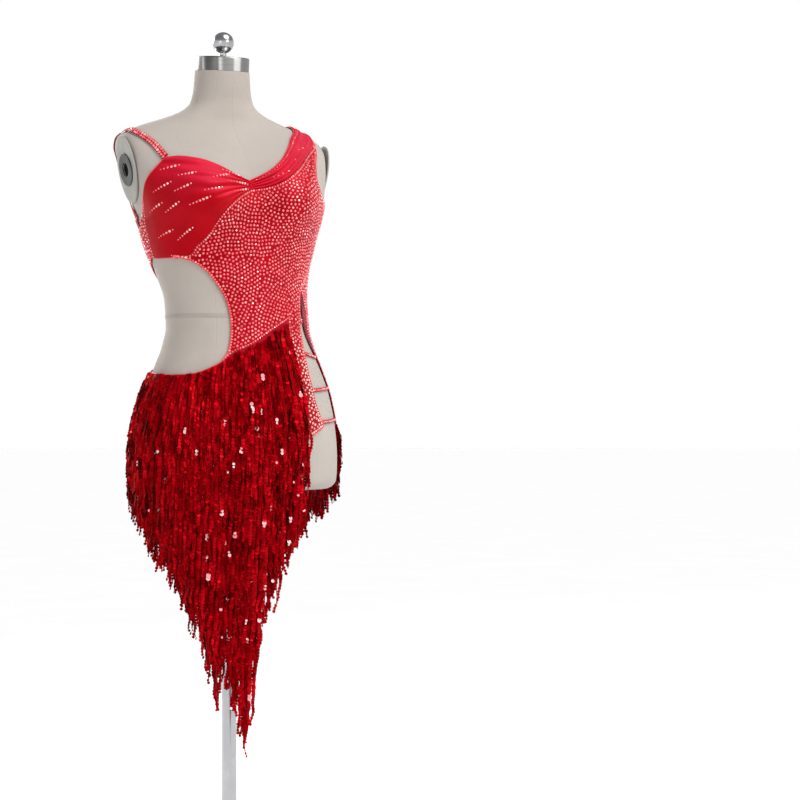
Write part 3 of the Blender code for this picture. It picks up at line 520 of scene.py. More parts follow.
def knit(mat, pitch):
    """Fine ribs of stretch jersey: two crossed waves, in the object's own metres."""
    place = node(mat, "ShaderNodeTexCoord")
    ribs = []
    for direction in ("X", "Z"):
        made = node(mat, "ShaderNodeTexWave", bands_direction=direction)
        made.inputs["Scale"].default_value = 1 / (pitch * 3.2)
        made.inputs["Distortion"].default_value = 1.5
        wire(mat, place.outputs["Object"], made.inputs["Vector"])
        ribs.append(made.outputs["Color"])
    return mixed(mat, *ribs, 0.7)


def form_cover():
    """Matt beige jersey."""
    mat = blank(
        "form_jersey", (0.44, 0.40, 0.365), 0.0, 0.85, Sheen_Weight=0.08, Specular_IOR_Level=0.2,
    )
    mottle = mottled(mat, 9, 4, (0.42, 0.372, 0.328), (0.465, 0.418, 0.375))
    grain = mottled(mat, 900, 2, 0.86, 1.0)
    rough = mottled(mat, 60, 3, 0.78, 0.92)
    return finish(mat, mixed(mat, mottle, grain, 0.8), rough, knit(mat, 0.0011), 0.0003, 0.35)


def lycra(name, low, high, bright=None):
    """Stretch knit, with painted light from above: the colour `bright` is added where it faces up.
    """
    mat = blank(
        name, high, 0.0, 0.42, Specular_IOR_Level=0.35, Specular_Tint=(1.0, 0.12, 0.2, 1.0),
        Sheen_Weight=0.14, Sheen_Roughness=0.35, Sheen_Tint=(1.0, 0.01, 0.1, 1.0),
    )
    shade = mottled(mat, 22, 3, low, high)
    # Painted light: `bright` is added to the colour as the surface turns to face up.
    if bright:
        facing = node(mat, "ShaderNodeSeparateXYZ")
        wire(mat, node(mat, "ShaderNodeNewGeometry").outputs["Normal"], facing.inputs[0])
        painted_top_light = ramp(mat, facing.outputs["Z"], (0.0, (0, 0, 0)), (0.55, bright))
        shade = mixed(mat, shade, painted_top_light, 1.0, "ADD")
    grain = mottled(mat, 1100, 2, 0.82, 1.0)
    rough = mottled(mat, 45, 3, 0.36, 0.5)
    return finish(mat, mixed(mat, shade, grain, 0.7), rough, knit(mat, 0.0006), 0.00015, 0.35)


def rhinestone():
    """Foil-backed stones: pale pink facets, each stone with its own tone."""
    mat = blank("rhinestone", (0.95, 0.5, 0.5), 0.25, 0.24, Coat_Weight=0.35, Coat_Roughness=0.1)
    tone = ramp(
        mat, attribute(mat, "tone"),
        (0.0, (0.7, 0.04, 0.06)), (0.3, (0.9, 0.13, 0.15)), (0.75, (1.0, 0.27, 0.29)),
        (1.0, (1.0, 0.66, 0.62)),
    )
    facet = ramp(mat, noise(mat, 700, 1), (0.35, 0.72), (0.6, 1.0))
    return finish(mat, mixed(mat, tone, facet, 0.7), mottled(mat, 350, 1, 0.14, 0.3))


def sequin():
    """Deep red film: the lightest tones are painted glints, a few sequins coloured pale pink and
    less metallic.
    """
    mat = blank("sequin_film", (0.4, 0.0, 0.008), 0.75, 0.4, Specular_Tint=(1.0, 0.05, 0.06, 1.0))
    own = attribute(mat, "tone")
    # Painted glints: tones above 0.84 turn pale pink, and less metallic below, so they show pale
    # from any side.
    tone = ramp(
        mat, own,
        (0.0, (0.13, 0.0, 0.001)), (0.45, (0.32, 0.0, 0.003)), (0.84, (0.56, 0.004, 0.01)),
        (0.9, (0.9, 0.3, 0.32)), (1.0, (1.0, 0.74, 0.74)),
    )
    film = mottled(mat, 500, 2, 0.8, 1.0)
    wire(mat, ramp(mat, own, (0.84, 0.75), (0.9, 0.15)), shader_input(mat, "Metallic"))
    return finish(mat, mixed(mat, tone, film, 0.5), mottled(mat, 400, 1, 0.36, 0.52))


def thread():
    """The dull red thread that the sequins hang on."""
    mat = blank("fringe_thread", (0.3, 0.0, 0.006), 0.0, 0.6, Sheen_Weight=0.2)
    return finish(mat, mottled(mat, 700, 2, (0.2, 0.0, 0.004), (0.4, 0.0, 0.01)))


def metal(name, low, high, rough, streaks, painted_reflection_bands=(), **sockets):
    """Streaked metal, with optional painted reflections: light and dark stretches round the neck's
    axis, multiplied into its colour.
    """
    mat = blank(name, high, 1.0, rough[0], **sockets)
    lines = noise(mat, 1.0, 4, streaks)
    around = node(mat, "ShaderNodeTangent", direction_type="RADIAL", axis="Z")
    wire(mat, around.outputs["Tangent"], shader_input(mat, "Tangent"))
    colour = ramp(mat, lines, (0.3, low), (0.7, high))
    # Painted reflections: light and dark bands laid round the neck's axis and multiplied into the
    # colour.
    if painted_reflection_bands:
        moved = node(mat, "ShaderNodeMapping")
        moved.inputs["Location"].default_value = (0.0, -NECK_MIDDLE * MM, 0.0)
        wire(mat, node(mat, "ShaderNodeTexCoord").outputs["Object"], moved.inputs["Vector"])
        turn = node(mat, "ShaderNodeTexGradient", gradient_type="RADIAL")
        wire(mat, moved.outputs["Vector"], turn.inputs["Vector"])
        colour = mixed(mat, colour, ramp(mat, turn.outputs["Fac"], *painted_reflection_bands), 1.0)
    rough_lines = ramp(mat, lines, (0.3, rough[0]), (0.7, rough[1]))
    return finish(mat, colour, rough_lines, lines, 0.0001, 0.15)


def plastic(name, low, high, rough, metallic=0.0, **sockets):
    """Any hard, finely grained surface."""
    mat = blank(name, high, metallic, rough, **sockets)
    roughness = mottled(mat, 90, 3, rough * 0.8, rough * 1.2)
    return finish(mat, mottled(mat, 35, 5, low, high), roughness, noise(mat, 1400, 2), 0.0001, 0.3)


FORM_COVER = form_cover()
TAPE = plastic("waist_tape", (0.33, 0.29, 0.265), (0.37, 0.33, 0.3), 0.8)
PLATE_COVER = plastic("plate_cover", (0.29, 0.28, 0.255), (0.34, 0.33, 0.3), 0.7)
# Painted reflections on the neck cap, as (share of a turn, brightness)
CAP_PAINTED_REFLECTIONS = [
    (0.0, 0.3), (0.05, 0.3), (0.062, 0.75), (0.075, 0.25), (0.09, 0.12), (0.16, 0.14), (0.175, 0.8),
    (0.195, 0.35), (0.25, 0.4), (0.265, 0.95), (0.295, 0.95), (0.31, 0.3), (0.4, 0.25), (0.5, 0.35),
    (0.6, 0.7), (0.65, 0.25), (0.8, 0.5), (0.9, 0.3), (1.0, 0.3),
]
BRUSHED = metal(
    "brushed_steel", (0.62, 0.61, 0.6), (0.95, 0.94, 0.92), (0.24, 0.36), (6, 6, 1400), CAP_PAINTED_REFLECTIONS,
    Anisotropic=0.7,
)
CHROME = metal("polished_chrome", (0.4, 0.4, 0.41), (0.5, 0.5, 0.51), (0.22, 0.3), (30, 30, 30))
GREY_RING = plastic("ring_grey", (0.03, 0.032, 0.031), (0.05, 0.052, 0.05), 0.5, 0.2)
BLACK = plastic(
    "socket_black", (0.001, 0.001, 0.001), (0.002, 0.002, 0.002), 0.8, Specular_IOR_Level=0.05,
)
BASE_PAINT = plastic("base_paint", (0.03, 0.03, 0.032), (0.05, 0.05, 0.052), 0.38, 0.3)
# The last colour of a lycra is painted light from above, added where the cloth faces up.
LYCRA = lycra("red_lycra", (0.34, 0.0, 0.002), (0.43, 0.0, 0.004), (0.26, 0.012, 0.038))
DEEP_LYCRA = lycra("deep_lycra", (0.3, 0.0, 0.006), (0.42, 0.0, 0.012))
# The binding's lighter orange-red is partly its own colour and partly a painted highlight along its
# rolled edge.
BINDING_PAINTED_HIGHLIGHT = lycra("edge_binding_painted_highlight", (0.66, 0.05, 0.045), (0.8, 0.12, 0.1))
STONE = rhinestone()
SEQUIN = sequin()
THREAD = thread()


# ---------------------------------------------------------------- making pieces
def added(name, data):
    """A new object in the scene, with its data."""
    obj = bpy.data.objects.new(name, data)
    bpy.context.scene.collection.objects.link(obj)
    return obj


def piece(name, points, faces, look, replaces=(), place=None, tones=None):
    """A mesh from points in millimetres, riding on the root. Faces with tones stay flat."""
    mesh = bpy.data.meshes.new(name)
    corners = (MM * np.asarray(points, float)).tolist()
    mesh.from_pydata(corners, [], [list(map(int, face)) for face in faces])
    if tones is not None:
        layer = mesh.attributes.new("tone", "FLOAT", "FACE")
        layer.data.foreach_set("value", np.asarray(tones, np.float32))
    else:
        work = bmesh.new()
        work.from_mesh(mesh)
        bmesh.ops.recalc_face_normals(work, faces=work.faces)
        work.to_mesh(mesh)
        work.free()
        mesh.shade_smooth()
        mesh.set_sharp_from_angle(angle=math.radians(SHARP_ANGLE))
    if place is not None:
        mesh.transform(place)
    mesh.materials.append(look)
    mesh.update()
    obj = added(name, mesh)
    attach(obj, "root")
    if replaces:
        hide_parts(*replaces)
    return obj


def rings_between(count, around):
    """Side faces between `count` rings of `around` points, and the two end caps."""
    order = np.arange(count * around).reshape(count, around)
    return [order[0][::-1], order[-1], *side_faces(order)]


def revolve(name, profile, look, replaces, place=None, segments=ROUND_SEGMENTS):
    """A body of revolution about Z from (radius, height) points that start and end on the axis."""
    turns = circle(segments)
    points, rings = [], []
    for radius, height in profile:
        if radius == 0:
            rings.append([len(points)] * segments)
            points.append((0.0, 0.0, height))
        else:
            rings.append(list(range(len(points), len(points) + segments)))
            points.extend(zip(radius * np.cos(turns), radius * np.sin(turns), [height] * segments))
    faces = [tuple(dict.fromkeys(corners)) for corners in side_faces(np.array(rings))]
    return piece(name, points, faces, look, replaces, place=place)


def rounded(*corners):
    """A profile with each (radius, height, round) corner turned into a small arc."""
    profile = []
    points = [np.array(c[:2], float) for c in corners]
    for i, here in enumerate(points):
        size = corners[i][2]
        if size == 0:
            profile.append(tuple(here))
            continue
        before, after = points[i - 1] - here, points[i + 1] - here
        start = here + size * before / np.linalg.norm(before)
        end = here + size * after / np.linalg.norm(after)
        for s in np.linspace(0, 1, 6):
            profile.append(tuple((1 - s) ** 2 * start + 2 * s * (1 - s) * here + s**2 * end))
    return profile


# ---------------------------------------------------------------- form and stand
SEAM_TURNS = (0.0, 34.0, 90.0, 147.0, 180.0, 213.0, 270.0, 326.0)
SEAM_DEPTH, SEAM_SPREAD = 0.3, 0.45  # mm, degrees
SEAM_POINTS = np.array([-1.2, -0.6, -0.3, 0.0, 0.3, 0.6, 1.2])  # degrees to either side of a seam
FORM_TURNS = np.arange(0, 360, 3.0)
FOOT_RISES, FOOT_DROP = [-290, -288.5, -286.5, -284, -281], 0.4
TAPE_SECTION = [(-3.6, -0.3), (-3.4, 0.25), (-2.9, 0.42), (2.9, 0.42), (3.4, 0.25), (3.6, -0.3)]


def form():
    """The covered torso, with a shallow groove at each seam and both ends closed."""
    near_seams = np.concatenate([seam + SEAM_POINTS for seam in SEAM_TURNS]) % 360
    turns = np.unique(np.round(np.concatenate([FORM_TURNS, near_seams]), 2))
    rises = np.concatenate([FOOT_RISES, np.arange(-277, 419, 5.0), [NECK_TOP]])
    away = np.min([np.abs((turns - seam + 180) % 360 - 180) for seam in SEAM_TURNS], axis=0)
    groove = SEAM_DEPTH * np.exp(-((away / SEAM_SPREAD) ** 2))
    rows = [lifted(turns, rise, -groove) for rise in rises]
    foot, top = rows[0].mean(axis=0), rows[-1].mean(axis=0)
    low = foot - (0, 0, FOOT_DROP)
    under = [low + share * (rows[0] - foot) for share in (0.02, 0.35, 0.7, 0.93, 0.985)]
    over = [top + share * (rows[-1] - top) for share in (0.96, 0.6, 0.02)]
    rows = np.array([*under, *rows, *over])
    faces = rings_between(*rows.shape[:2])
    piece("form_skin", rows.reshape(-1, 3), faces, FORM_COVER, ["form_torso"])


def waist_tape():
    """The tape round the waist, which shows in the cut-out."""
    rings = np.array([lifted(FORM_TURNS, rise, lift) for rise, lift in TAPE_SECTION])
    faces = side_faces(np.arange(rings[..., 0].size).reshape(rings.shape[:2]), closed=True)
    piece("waist_tape", rings.reshape(-1, 3), faces, TAPE)


def arm_place(side, out):
    """Local XY on the arm cut of one side: X runs back, Y runs up the cut and Z points out."""
    z = Vector((side, 0.0, -ARM_LEAN)).normalized()
    x = Vector((0.0, 1.0, 0.0))
    y = z.cross(x)
    if y.z < 0:
        x, y = -x, -y
    cut = ARM_CUT - ARM_LEAN * (ARM_CUT_RISE - PLATE_RISE)
    middle = Vector((side * cut, PLATE_BACK, WAIST_HEIGHT + PLATE_RISE)) + out * z
    return Matrix.Translation(MM * middle) @ Matrix((x, y, z)).transposed().to_4x4()


def oval_ring(name, half_depth, half_height, wall, look, replaces, place):
    """A flat plate with an oval rim and the socket's round hole, its edges rounded over."""
    turns = circle(ROUND_SEGMENTS)
    edge, near = PLATE_EDGE, 0.3 * PLATE_EDGE
    # (on the rim or on the hole, outwards, height)
    steps = [
        (0, 0, 0), (0, near, wall - near), (0, 2 * edge, wall), (1, -2 * edge, wall),
        (1, -edge, wall), (1, -near, wall - near), (1, 0, wall - edge), (1, 0, 0),
    ]
    loops = []
    for rim, grow, height in steps:
        a, b = (half_depth, half_height) if rim else (SOCKET_RADIUS, SOCKET_RADIUS)
        x, y = (a + grow) * np.cos(turns), (b + grow) * np.sin(turns)
        loops.append(np.stack([x, y, 0 * turns + height], 1))
    faces = side_faces(np.arange(len(loops) * ROUND_SEGMENTS).reshape(len(loops), -1), closed=True)
    piece(name, np.vstack(loops), faces, look, replaces, place=place)


def arms():
    """At each shoulder: a covered plate, a ring on it and a dark plug in the socket."""
    for side, word in ((-1, "right"), (1, "left")):
        on_cut, on_plate = arm_place(side, REST_GAP), arm_place(side, 2 * REST_GAP + PLATE_WALL)
        oval_ring(
            f"arm_plate_{word}", PLATE_DEPTH / 2, PLATE_HEIGHT / 2, PLATE_WALL, PLATE_COVER,
            [f"form_arm_plate_{word}"], on_cut,
        )
        oval_ring(
            f"arm_ring_{word}", RING_RADIUS, RING_RADIUS, RING_WALL, GREY_RING,
            [f"form_arm_ring_{word}"], on_plate,
        )
        reach = SOCKET_RADIUS - REST_GAP
        height = REST_GAP + PLATE_WALL + RING_WALL - SOCKET_SUNK
        plug = rounded((0, 0, 0), (reach, 0, 0), (reach, height, 0.4), (0, height, 0))
        revolve(
            f"arm_socket_{word}", plug, BLACK, [f"form_arm_socket_{word}"], on_cut,
            ROUND_SEGMENTS // 2,
        )


def raised(height, back=0.0):
    """A place over the stand's axis, or behind it."""
    return Matrix.Translation(MM * Vector((0.0, back, height)))


def neck():
    """The cap on the neck's leaning top, and the ball on its short stem."""
    lean = Matrix.Rotation(math.atan(NECK_LEAN), 4, "X")
    at = raised(WAIST_HEIGHT + NECK_TOP, NECK_MIDDLE) @ lean @ raised(REST_GAP)
    cap = rounded((0, 0, 0), (CAP_RADIUS, 0, 0), (CAP_RADIUS, CAP_HEIGHT, 2.0), (0, CAP_HEIGHT, 0))
    revolve("neck_cap", cap, BRUSHED, ["form_neck_cap"], at)
    start = STEM_HEIGHT + BALL_RADIUS - math.sqrt(BALL_RADIUS**2 - STEM_RADIUS**2)
    ball = rounded(
        (0, 0, 0), (STEM_RADIUS + 3, 0, 0), (STEM_RADIUS, 3, 1.2), (STEM_RADIUS, start, 0),
    )
    low = math.asin(STEM_RADIUS / BALL_RADIUS)
    for k in range(1, BALL_STEPS):
        angle = low + (math.pi - low) * k / BALL_STEPS
        height = STEM_HEIGHT + BALL_RADIUS * (1 - math.cos(angle))
        ball.append((BALL_RADIUS * math.sin(angle), height))
    ball.append((0, STEM_HEIGHT + 2 * BALL_RADIUS))
    on_cap = at @ raised(CAP_HEIGHT + REST_GAP)
    revolve("ball_finial", ball, CHROME, ["form_finial"], on_cap)


def stand():
    """The pole with its flange and collar, the round base and the boss between them."""
    pole_top = WAIST_HEIGHT + FORM_SECTIONS[0].rise - REST_GAP
    foot, under = BOSS_TOP + REST_GAP, pole_top - FLANGE_HEIGHT
    pole = rounded(
        (0, foot, 0), (POLE_RADIUS, foot, 0), (POLE_RADIUS, under - COLLAR_HEIGHT, 2),
        (COLLAR_RADIUS, under, 3), (FLANGE_RADIUS, under, 1.5), (FLANGE_RADIUS, pole_top, 0),
        (0, pole_top, 0),
    )
    revolve("pole", pole, CHROME, ["stand_pole"])
    base = rounded(
        (0, 0, 0), (BASE_RADIUS - 3, 0, 0), (BASE_RADIUS, 3, 1.5), (BASE_RADIUS, 6, 2),
        (BASE_RADIUS - 6, 9, 3), (BOSS_RADIUS + 3, BASE_HEIGHT, 1), (0, BASE_HEIGHT, 0),
    )
    revolve("base_plate", base, BASE_PAINT, ["stand_base"], segments=128)
    seat = BASE_HEIGHT + REST_GAP
    boss = rounded(
        (0, seat, 0), (BOSS_RADIUS, seat, 0), (BOSS_RADIUS, BOSS_TOP, 4), (0, BOSS_TOP, 0),
    )
    revolve("pole_boss", boss, CHROME, ["stand_boss"])


# ---------------------------------------------------------------- cloth
def shell(name, places, triangles, lift, look, replaces):
    """A thin piece of cloth: two lifted copies of a layout of faces, joined round the borders."""
    turn, rise = np.asarray(places, float).T
    count = len(turn)
    points = np.vstack([
        lifted(turn, rise, CLOTH_OUTSIDE + lift),
        lifted(turn, rise, CLOTH_INSIDE + FOLD_THINNING * lift),
    ])
    sides = {(t[i], t[(i + 1) % len(t)]) for t in map(tuple, triangles) for i in range(len(t))}
    borders = [side for side in sides if side[::-1] not in sides]
    faces = [tuple(t) for t in triangles]
    faces += [tuple(count + i for i in reversed(t)) for t in faces]
    faces += [(b, a, count + a, count + b) for a, b in borders]
    return piece(name, points, faces, look, replaces)


def cut_cloth(name, places, look, replaces):
    """A smooth piece of cloth inside an outline."""
    loop = inset(flat(places), SEAM_GAP / 2)
    nodes = grid(loop.min(axis=0), loop.max(axis=0), LATTICE_STEP)
    nodes = nodes[within(nodes, loop)]
    nodes = nodes[edge_distance(nodes, loop) > EDGE_CLEAR * EDGE_STEP]
    both = [Vector(p) for p in np.vstack([loop, nodes])]
    made = delaunay_2d_cdt(both, [], [list(range(len(loop)))], 1, 1e-5)
    spots = unflat([tuple(p) for p in made[0]])
    return shell(name, spots, made[2], np.zeros(len(spots)), look, replaces)


Fold = namedtuple("Fold", "start end start_width end_width height reach")
CUP_FOLDS = [
    Fold(0.06, 0.030, 0.075, 0.032, 3.0, 1.30),
    Fold(0.23, 0.120, 0.080, 0.038, 2.6, 1.00),
    Fold(0.42, 0.215, 0.095, 0.050, 3.6, 0.86),
    Fold(0.62, 0.330, 0.080, 0.060, 2.4, 0.74),
    Fold(0.80, 0.470, 0.090, 0.075, 3.0, 0.60),
    Fold(0.96, 0.640, 0.060, 0.090, 1.6, 0.46),
]
BAND_FOLDS = [
    Fold(0.08, 0.07, 0.080, 0.075, 2.2, 1.30),
    Fold(0.28, 0.33, 0.085, 0.110, 3.0, 1.15),
    Fold(0.50, 0.56, 0.075, 0.080, 2.0, 0.80),
    Fold(0.70, 0.76, 0.090, 0.100, 2.8, 1.05),
    Fold(0.92, 0.93, 0.060, 0.070, 2.0, 1.30),
]


def fold_lift(folds, along, down):
    """Height of uneven folds that leave one end of a piece and die out towards the other."""
    lift = np.zeros_like(along)
    for number, fold in enumerate(folds):
        middle = fold.start + (fold.end - fold.start) * along**0.75
        middle = middle + 0.012 * np.sin(9 * along + 2 * number)
        width = fold.start_width + (fold.end_width - fold.start_width) * along
        fade = np.clip((fold.reach - along) / 0.45, 0, 1) ** 1.5
        fade = fade * np.clip(along / 0.03 + 0.35, 0, 1)
        lift = np.maximum(lift, fold.height * fade * np.exp(-(((down - middle) / width) ** 2)))
    return lift


def gathered(name, top, bottom, rows, folds, look, replaces, end=None):
    """Cloth between two edges with as many points each, raised into folds."""
    top, bottom = flat(top), flat(bottom)
    columns = len(top)
    u, v = np.meshgrid(np.linspace(0, 1, columns), np.linspace(0, 1, rows + 1))
    net = (1 - v[..., None]) * top + v[..., None] * bottom
    if end is not None:
        bent = flat(even(end, rows + 1)) - net[:, -1]
        net = net + u[..., None] * bent[:, None]
    order = np.arange(net.shape[0] * columns).reshape(-1, columns)
    ring = np.concatenate([order[0], order[1:, -1], order[-1, -2::-1], order[-2:0:-1, 0]])
    places = net.reshape(-1, 2)
    places[ring] = inset(places[ring], SEAM_GAP / 2)
    corners = [order[:-1, :-1], order[1:, :-1], order[1:, 1:], order[:-1, 1:]]
    quads = np.stack(corners, axis=-1).reshape(-1, 4).tolist()
    lift = fold_lift(folds, u.ravel(), v.ravel())
    return shell(name, unflat(places), quads, lift, look, replaces)


def run_frame(places):
    """Points along a path on the skin, with the directions across the path and off the skin."""
    centre = skin(*places.T)
    out = lifted(*places.T, 1.0) - centre
    return centre, unit(np.cross(np.gradient(centre, axis=0), out)), out


def carried(section, centre, across, out):
    """Points and faces of a cross-section of (side, lift) points carried along a line."""
    rings = np.stack([centre + side * across + lift * out for side, lift in section], axis=1)
    return rings.reshape(-1, 3), rings_between(*rings.shape[:2])


def strap(name, path, width, replaces, step=3.0):
    """A soft-edged strap of even width along a path on the skin."""
    half = width / 2
    section = [
        (-half + 0.5, 1.85), (half - 0.5, 1.85), (half, 2.3), (half - 0.4, 2.75),
        (half - 1.3, 2.95), (0, 2.8), (-half + 1.3, 2.95), (-half + 0.4, 2.75), (-half, 2.3),
    ]
    points, faces = carried(section, *run_frame(drawn(path, step)))
    return piece(name, points, faces, STONED, replaces)


def piping(name, edges, radius=PIPING_RADIUS):
    """A rolled binding along open edges of the cloth, just inside them."""
    section = [(radius * math.cos(a), PIPING_LIFT + radius * math.sin(a)) for a in circle(8)]
    parts, faces = [], []
    for edge, side in edges:
        centre, across, out = run_frame(drawn(edge, 3.0))
        points, own = carried(section, centre + side * PIPING_SHIFT * across, across, out)
        start = sum(map(len, parts))
        parts.append(points)
        faces += [[start + i for i in face] for face in own]
    return piece(name, np.vstack(parts), faces, BINDING_PAINTED_HIGHLIGHT)


# ---------------------------------------------------------------- stones
def axes_at(turn, rise):
    """Directions across, up and off the skin."""
    across = unit(skin(turn + 0.5, rise) - skin(turn - 0.5, rise))
    out = unit(np.cross(across, skin(turn, rise + 0.5) - skin(turn, rise - 0.5)))
    return across, np.cross(out, across), out


def stone_shape():
    """A flat-backed stone of radius 1: a slanting crown of facets under a flat table."""
    turns = circle(FACETS)
    rim = np.stack([np.cos(turns), np.sin(turns), 0 * turns], 1)
    table = np.stack([np.cos(turns), np.sin(turns), 0 * turns + 1], 1) * STONE_TABLE
    order = np.arange(2 * FACETS).reshape(2, FACETS)
    return np.vstack([rim, table]), side_faces(order), order[1]


def stones(name, points, across, up, out, radii, tones, slot="stoned_lycra"):
    """One piece from many stones, each turned and tipped a little its own way."""
    shape, facets, table = stone_shape()
    count = len(points)
    turned = RNG.uniform(0, 2 * np.pi / FACETS, count)
    tip = RNG.normal(0, STONE_TIP, (count, 2))
    out = unit(out + tip[:, :1] * across + tip[:, 1:] * up)
    across = square_to(out, across)
    up = np.cross(out, across)
    cos, sin = np.cos(turned)[:, None], np.sin(turned)[:, None]
    axes = cos * across + sin * up, cos * up - sin * across, out
    parts = [shape[None, :, i : i + 1] * axis[:, None] for i, axis in enumerate(axes)]
    corners = points[:, None] + radii[:, None, None] * sum(parts)
    first = np.arange(count)[:, None] * len(shape)
    faces = (first[:, :, None] + np.array(facets)).reshape(-1, 4).tolist()
    faces += (first + table).tolist()
    face_tones = np.concatenate([np.repeat(tones, FACETS), tones])
    return piece(name, corners.reshape(-1, 3), faces, STONE, tones=face_tones)


def spaced(run, pitch):
    """Places about `pitch` apart along a fine run of places, measured on the skin."""
    length = lengths_along(skin(*run.T))
    at = np.linspace(0, length[-1], max(2, round(length[-1] / pitch) + 1))
    return np.stack([np.interp(at, length, run[:, i]) for i in (0, 1)], axis=1)


def packed(loop):
    """Places for stones: a tight row inside a loop, then rows that nest against it."""
    row_loop = inset(loop, STONE_ROW_INSET)
    row = spaced(unflat(np.vstack([row_loop, row_loop[:1]])), STONE_ROW_PITCH)[:-1]
    spots = grid(loop.min(axis=0), loop.max(axis=0), STONE_LATTICE)
    spots = spots[within(spots, loop)]
    depth = edge_distance(spots, loop)
    order = np.argsort(depth + RNG.uniform(0, 0.5, len(depth)))
    places = unflat(spots[order][depth[order] > STONE_ROW_INSET + ROW_CLEAR])
    points = skin(*places.T)
    for spot in skin(*row.T):
        apart = 0.5 * (STONE_ROW_PITCH + STONE_PITCH)
        keep = np.sum((points - spot) ** 2, axis=1) > apart**2
        points, places = points[keep], places[keep]
    taken = []
    while len(points):
        taken.append(places[0])
        keep = np.sum((points - points[0]) ** 2, axis=1) > STONE_PITCH**2
        points, places = points[keep], places[keep]
    return row, np.array(taken).reshape(-1, 2)


def stoned(name, places_loop, paler=0.0):
    """Stones over a cloth piece. `paler` is added to the tones of those down the front strip."""
    row, fill = packed(inset(flat(places_loop), SEAM_GAP / 2))
    fill = fill + RNG.normal(0, 0.12, fill.shape)
    turn, rise = np.vstack([row, fill]).T
    radii = np.repeat([ROW_STONE_RADIUS, STONE_RADIUS], [len(row), len(fill)])
    radii *= RNG.uniform(0.92, 1.07, len(radii))
    in_strip = np.interp(turn, [18, 24], [0, 1]) * np.interp(-rise, [20, 60], [0, 1])
    tones = np.clip(RNG.beta(2.6, 2.8, len(radii)) + paler * in_strip, 0, 1)
    points = lifted(turn, rise, CLOTH_OUTSIDE - 0.02)
    return stones(name, points, *axes_at(turn, rise), radii, tones)


def dropped(cloth, turn, rise):
    """Where lines square to the skin meet the outside of some cloth, and which way it faces."""
    corners = [v.co for v in cloth.data.vertices]
    tree = BVHTree.FromPolygons(corners, [tuple(p.vertices) for p in cloth.data.polygons])
    points, outs = [], []
    for start, inward in zip(lifted(turn, rise, PROBE_LIFT), -axes_at(turn, rise)[2]):
        hit, normal, _, _ = tree.ray_cast(Vector(start) * MM, Vector(inward))
        if hit is None:
            hit = (Vector(start) + Vector(inward) * (PROBE_LIFT - CLOTH_OUTSIDE)) * MM
            normal = -Vector(inward)
        points.append(np.array(hit) / MM)
        outs.append(np.array(normal))
    return np.array(points), np.array(outs)


def stones_on(name, cloth, places, radii, tones):
    """Stones set on a folded piece of cloth."""
    turn, rise = np.asarray(places, float).T
    points, out = dropped(cloth, turn, rise)
    across = square_to(out, axes_at(turn, rise)[0])
    up = np.cross(out, across)
    return stones(name, points, across, up, out, np.asarray(radii), np.asarray(tones), "red_lycra")


COMET_PITCH = 6.0
# Short rows of stones on the cup, each growing towards a bright one near its far end.
COMETS = [
    ((-50, 239), (-39, 245)), ((-42, 228.5), (-33, 231.5)), ((-62, 203), (-48, 218)),
    ((-48, 203), (-38, 213.5)), ((-72, 171.5), (-59, 185)), ((-58, 170), (-48, 185)),
    ((-42, 180.5), (-30, 192.5)), ((-69, 129.5), (-55, 141.5)), ((-52, 125), (-41, 144.5)),
    ((-25, 224), (-15, 230)), ((-32, 203), (-22, 207.5)), ((-17, 219.5), (-4, 215)),
    ((-14, 203), (-4, 207.5)), ((-18, 236), (-7, 228.5)), ((-61, 99.5), (-46, 95)),
]


def comet_stones():
    """Places, radii and tones of the rows of stones on the cup."""
    places, radii, tones = [], [], []
    for start, end in COMETS:
        run = spaced(np.array([start, end], float), COMET_PITCH)
        share = np.linspace(0, 1, len(run))
        places.extend(run)
        radii.extend(np.interp(share, [0, 0.8, 1], [1.35, 2.3, 1.5]))
        tones.extend(np.interp(share, [0, 0.8, 1], [0.45, 1.0, 0.7]))
    return places, radii, tones


# ---------------------------------------------------------------- fringe
# `first` and `last` are the fringe's end turns, `last` from the top tier to the lowest.
Fringe = namedtuple("Fringe", "top low hem first last")
TIERS = 9
UPPER_PITCH, LOWER_PITCH = 6.2, 4.4  # between strands of the top and of the bottom tier
SEQUIN_PITCH, SEQUIN_RADIUS = 5.0, 3.9
FULL_SHARE = 0.3  # of the strands: these reach the hem
TURNED_SHARE, PAINTED_GLINT_SHARE = 0.05, 0.006  # of the sequins: out of line, and painted pale pink as glints
THREAD_RADIUS, THREAD_BEHIND = 0.45, 0.9  # mm
STRAND_START, TIER_CLIMB, STRAND_LOOSE = 4.8, 1.05, 2.4  # lift off the skin, mm
# Strands gather into uneven clumps, each with its own place, pull, length and tone.
CLUMPS = 190
CLUMP_TURNS = np.cumsum(RNG.uniform(1.4, 3.4, CLUMPS)) - 100
CLUMP_PULLS = RNG.uniform(0.3, 0.8, CLUMPS)
CLUMP_DROPS = RNG.uniform(-26, 22, CLUMPS)
CLUMP_TONES = RNG.uniform(-0.14, 0.14, CLUMPS)
# Strands take their looseness, sway and twist from these in turn. No two lists are as long.
LOOSE = RNG.uniform(0, 1, 997)
SWAY = RNG.normal(0, 0.6, 991).clip(-1, 1)
TWIST_PHASE = RNG.uniform(0, 2 * np.pi, 983)
TWIST_LENGTH = RNG.uniform(50, 150, 977)
UP = np.array([0.0, 0.0, 1.0])


def clump_of(turn):
    """The number of the clump nearest to each turn."""
    return np.searchsorted((CLUMP_TURNS[1:] + CLUMP_TURNS[:-1]) / 2, turn)


def fringe_lines(fringe, share, turn):
    """Rise of the line that a tier is sewn to, with share 0 at the top and 1 at the lowest."""
    top = eased(*zip(*fringe.top), turn)
    low = eased(*zip(*fringe.low), turn)
    return top + share * (low - top)


